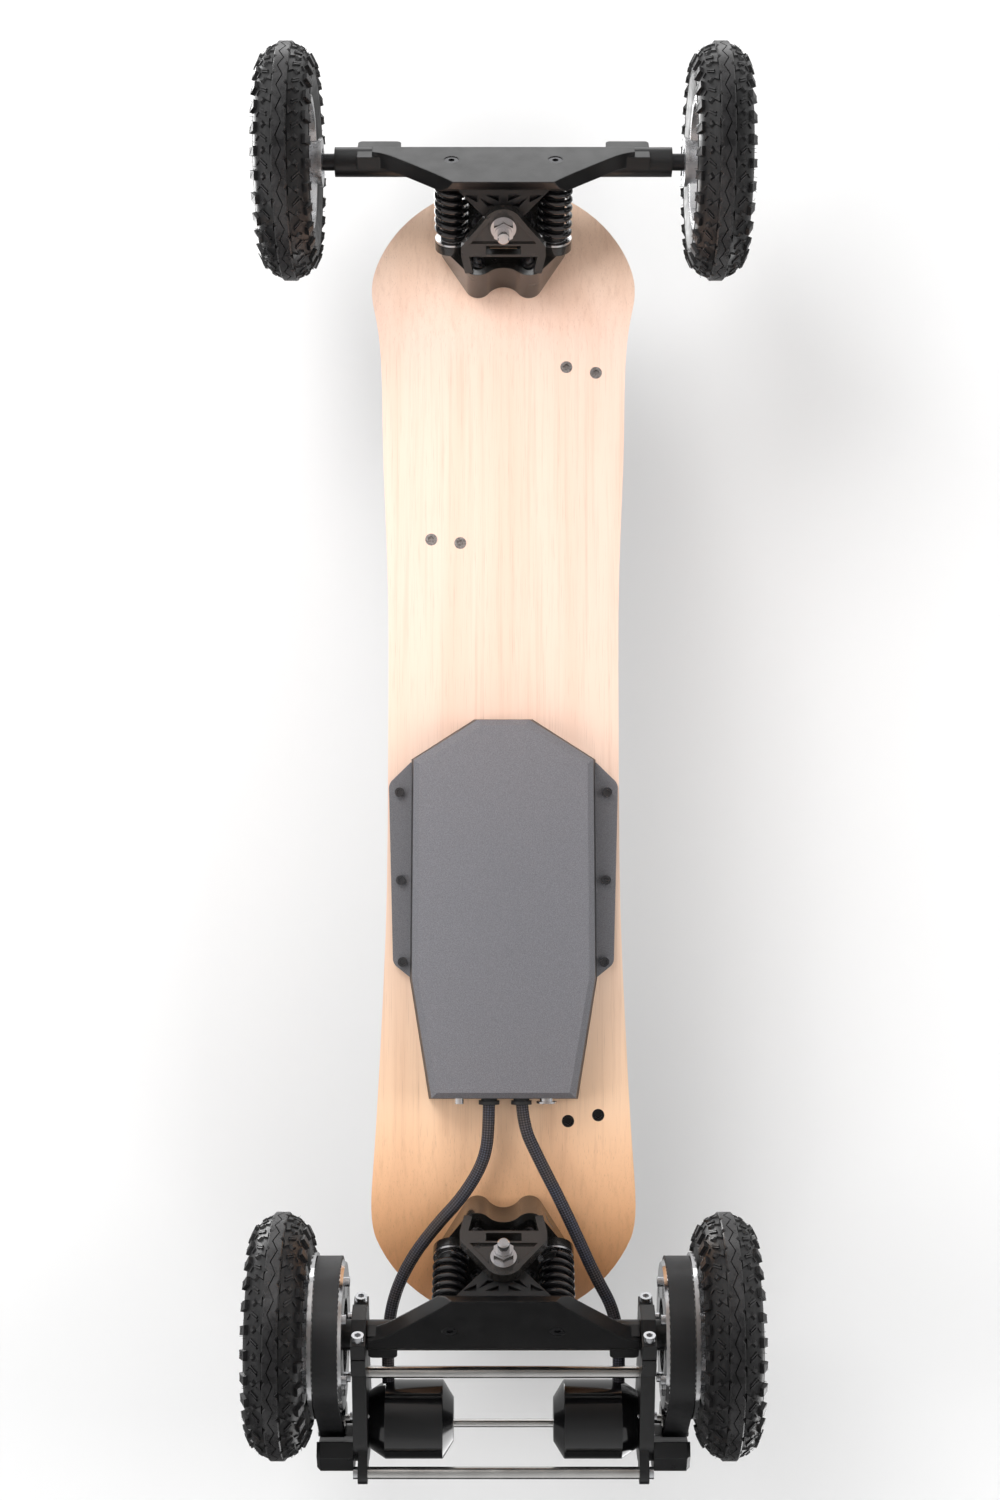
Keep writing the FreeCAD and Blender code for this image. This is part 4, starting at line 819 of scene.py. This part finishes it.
def add_blocks(skin):
    """Knobs on the walls, and star blocks, paired ridges, wedges and webs between them and the band."""
    star = turned(bar(0.0058, 0.0058), 38)
    web = turned(bar(0.0050, 0.0012), -48)
    pitch = 2 * math.pi / PITCHES
    for i in range(PITCHES):
        for side in (1, -1):
            turn = (i + (0.5 if side > 0 else 0.0)) * pitch
            between = turn + 0.5 * pitch
            tread_block(skin, turn, side * math.radians(KNOB_TILT), KNOB, (-0.001, 0.0034), 0.88, 0)
            tread_block(skin, turn, side * math.radians(STAR_TILT), star, (-0.0005, 0.0021), 0.45, 0)
            for shift in (-RIDGE_SHIFT, RIDGE_SHIFT):
                ridge = turned(bar(0.0088, 0.0012), 52, shift)
                tread_block(skin, between, side * math.radians(RIDGE_TILT), ridge, (-0.0005, 0.0014), 0.85, 0)
            tread_block(skin, turn, side * math.radians(WEDGE_TILT), WEDGE, (-0.0004, 0.0016), 0.7, 0)
            tread_block(skin, between, side * math.radians(WEB_TILT), web, (-0.0005, 0.0012), 0.85, 0)


def add_rings(skin):
    for tilt in RING_TILTS:
        for side in (1, -1):
            ring = [tyre_point(k * 2 * math.pi / RING_STEPS, side * math.radians(tilt), 0.0001)
                    for k in range(RING_STEPS + 1)]
            skin.tube(ring, 0.0003, 4)


def add_hairs(skin, rng):
    """Fine moulding hairs that lean at random, none past the tyre's running surface."""
    for i in range(HAIRS):
        turn = rng.uniform(0, 2 * math.pi)
        tilt = rng.choice((-1, 1)) * math.radians(rng.uniform(*HAIR_TILTS))
        root = tyre_point(turn, tilt, 0.0)
        out = (tyre_point(turn, tilt, 0.001) - root).normalized()
        lean = Vector((rng.uniform(-1, 1), rng.uniform(-1, 1), rng.uniform(-1, 1))) * 0.7
        reach = rng.uniform(*HAIR_REACH)
        tip = root + (out + lean).normalized() * reach
        if math.hypot(tip.x, tip.z) < BAND_RADIUS - 0.001:
            middle = root + out * reach * 0.55
            skin.tube([root, middle, tip], [0.00022, 0.0002, 0.00008], 3)


def make_tyre(corner, materials, rng):
    """One tyre, made about its own axle and then put on its wheel."""
    skin = Skin()
    skin.grid(casing_rows(), 0, closed=True)
    # The band takes the lighter tread rubber, partly a painted sheen
    skin.grid(band_rows(), 1, closed=True, smooth=False)
    add_blocks(skin)
    add_rings(skin)
    add_hairs(skin, rng)
    obj = skin.make("tyre_" + corner, materials)
    obj.location = joint_place(corner + "_spin")
    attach(obj, corner + "_wheel")
    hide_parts(corner + "_tyre")


# ---- springs ---------------------------------------------------------------------------------

COIL_RADIUS = 0.013
WIRE_RADIUS = 0.0025
DAMPER_RADIUS = 0.0088
COIL_TURNS = 6.4
COIL_STEPS = 30             # in one turn


def make_spring(end, side, materials):
    """Coil spring round a rubber damper, between the seat on the deck and the hanger's beam."""
    node = end + "_" + side + "_spring"
    along = Y_AXIS.cross(Vector(JOINTS[end + "_steer"]["axis"]))
    if along.z > 0:
        along.negate()
    up = along.cross(Y_AXIS)
    length = extent(node).x * math.sqrt(2) - extent(node).y
    seat = centre(node) - along * length / 2
    run = length - 2 * WIRE_RADIUS
    count = round(COIL_TURNS * COIL_STEPS)
    path = []
    for i in range(count + 1):
        turn = 2 * math.pi * i / COIL_STEPS
        spot = seat + along * (WIRE_RADIUS + run * i / count)
        path.append(spot + (up * math.cos(turn) + Y_AXIS * math.sin(turn)) * COIL_RADIUS)
    skin = Skin()
    skin.tube(path, WIRE_RADIUS, 12)
    skin.tube([seat + along * length * i / 12 for i in range(13)], DAMPER_RADIUS, 20, 1)
    obj = skin.make("spring_" + end + "_" + side, materials)
    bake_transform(obj)
    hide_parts(node)


# ---- motor cables ----------------------------------------------------------------------------

CABLE_RADIUS = 0.0052
RIGHT_ROUTE = [(-0.2795, -0.0120, 0.1040), (-0.3095, -0.0120, 0.1040), (-0.3405, -0.0150, 0.1090),
               (-0.3715, -0.0330, 0.1140), (-0.3985, -0.0580, 0.1190), (-0.4285, -0.0800, 0.1240),
               (-0.4615, -0.0940, 0.1290), (-0.4975, -0.0980, 0.1335), (-0.5335, -0.0970, 0.1390)]
LEFT_ROUTE = [(-0.2795, 0.0150, 0.1040), (-0.3095, 0.0150, 0.1040), (-0.3415, 0.0300, 0.1090),
              (-0.3745, 0.0470, 0.1150), (-0.4075, 0.0625, 0.1200), (-0.4395, 0.0770, 0.1250),
              (-0.4685, 0.0930, 0.1300), (-0.5005, 0.0980, 0.1340), (-0.5335, 0.0970, 0.1390)]


def smooth_route(points):
    """Points along a smooth curve that follows a route."""
    curve = bpy.data.curves.new("route", "CURVE")
    curve.dimensions = "3D"
    spline = curve.splines.new("NURBS")
    spline.points.add(len(points) - 1)
    for knot, point in zip(spline.points, points):
        knot.co = (*point, 1)
    spline.order_u = 3
    spline.use_endpoint_u = True
    curve.resolution_u = 14
    holder = bpy.data.objects.new("route", curve)
    line = bpy.data.meshes.new_from_object(holder)
    path = [vertex.co.copy() for vertex in line.vertices]
    bpy.data.objects.remove(holder)
    bpy.data.meshes.remove(line)
    bpy.data.curves.remove(curve)
    return path


def make_cable(side, route, material):
    """Motor cable that bends between the enclosure on the deck and the motor on the rear hanger."""
    skin = Skin()
    skin.tube(smooth_route(route), CABLE_RADIUS, 20)
    obj = skin.make("cable_" + side, [material])
    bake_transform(obj)
    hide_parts(side + "_motor_cable")


# ---- belts -----------------------------------------------------------------------------------

BELT_PITCH = 0.005
DRIVEN_TEETH = 78
MOTOR_TEETH = 16
BELT_BACK = 0.0022          # of the belt's faces and teeth, outwards from the pitch line
BELT_INSIDE = -0.0002
TOOTH_TIP = -0.0018
TOOTH_FOOT = 0.0012         # half of a tooth's width at its foot
TOOTH_CREST = 0.0008
DRIVEN_MARGIN = 2.5         # pitches without teeth past the driven pulley, and past the motor's
MOTOR_MARGIN = 1.5


def make_belt(side, material):
    """Toothed belt round both pulleys; its teeth show on the free runs, clear of the pulleys."""
    axle = joint_place("rear_" + side + "_spin")
    motor = joint_place(side + "_motor_spin")
    low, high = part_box(side + "_belt")
    big = DRIVEN_TEETH * BELT_PITCH / (2 * math.pi)
    small = MOTOR_TEETH * BELT_PITCH / (2 * math.pi)
    forward = Vector((motor.x - axle.x, 0, motor.z - axle.z))
    distance = forward.length
    forward.normalize()
    upward = Vector((-forward.z, 0, forward.x))
    leave = math.pi - math.acos((big - small) / distance)
    span = math.sqrt(distance ** 2 - (big - small) ** 2)
    big_arc = big * leave
    half_loop = big_arc + span + small * (math.pi - leave)

    def at(place, offset):
        """Point at a place along the pitch line from the far side of the driven pulley."""
        s = abs(place)
        turn = s / big if s < big_arc else leave
        if s > big_arc + span:
            turn = leave + (s - big_arc - span) / small
        out = -forward * math.cos(turn) + upward * math.sin(turn) * (1 if place > 0 else -1)
        middle = axle + out * big
        if s > big_arc + span:
            middle = axle + forward * distance + out * small
        elif s > big_arc:
            run = forward * math.sin(turn) + upward * math.cos(turn) * (1 if place > 0 else -1)
            middle = middle + run * (s - big_arc)
        return middle + out * offset

    held = int(big_arc / BELT_PITCH + 0.1)
    wrapped = int(small * (math.pi - leave) / BELT_PITCH)
    free = half_loop - (held + wrapped) * BELT_PITCH
    gaps = round(free / BELT_PITCH)
    half = [i * BELT_PITCH for i in range(held + 1)]
    half += [held * BELT_PITCH + free * i / gaps for i in range(1, gaps)]
    half += [half_loop - i * BELT_PITCH for i in reversed(range(wrapped + 1))]
    teeth = [-s for s in reversed(half[1:-1])] + half
    rows = []
    for s in teeth:
        first = big_arc + DRIVEN_MARGIN * BELT_PITCH
        last = big_arc + span - MOTOR_MARGIN * BELT_PITCH
        tip = TOOTH_TIP if first < abs(s) < last else BELT_INSIDE
        for shift, inside in ((-TOOTH_FOOT, BELT_INSIDE), (-TOOTH_CREST, tip), (TOOTH_CREST, tip),
                              (TOOTH_FOOT, BELT_INSIDE)):
            place = s + shift
            if place > half_loop:
                place -= 2 * half_loop
            section = [(BELT_BACK, low.y), (BELT_BACK, high.y), (inside, high.y), (inside, low.y)]
            rows.append([Vector((at(place, depth).x, y, at(place, depth).z)) for depth, y in section])
    skin = Skin()
    skin.grid(rows, 0, closed=True, around=True, smooth=False)
    obj = skin.make("belt_" + side, [material])
    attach(obj, "rear_hanger")
    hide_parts(side + "_belt")


# ---- run -------------------------------------------------------------------------------------

FINISH = finishes()
dress_nodes(FINISH)
# The second tyre material is the lighter tread rubber, partly a painted sheen
TREAD = [FINISH["tyre_rubber"], tread_rubber_and_sheen()]
for number, corner in enumerate(WHEELS):
    make_tyre(corner, TREAD, random.Random(number))
for end in ("front", "rear"):
    for side in SIDES:
        make_spring(end, side, [FINISH["spring_gloss"], FINISH["grommet_rubber"]])
make_cable("left", LEFT_ROUTE, FINISH["sleeve"])
make_cable("right", RIGHT_ROUTE, FINISH["sleeve"])
for side in SIDES:
    make_belt(side, FINISH["belt_rubber"])

make_camera()
make_stage()
make_lights()
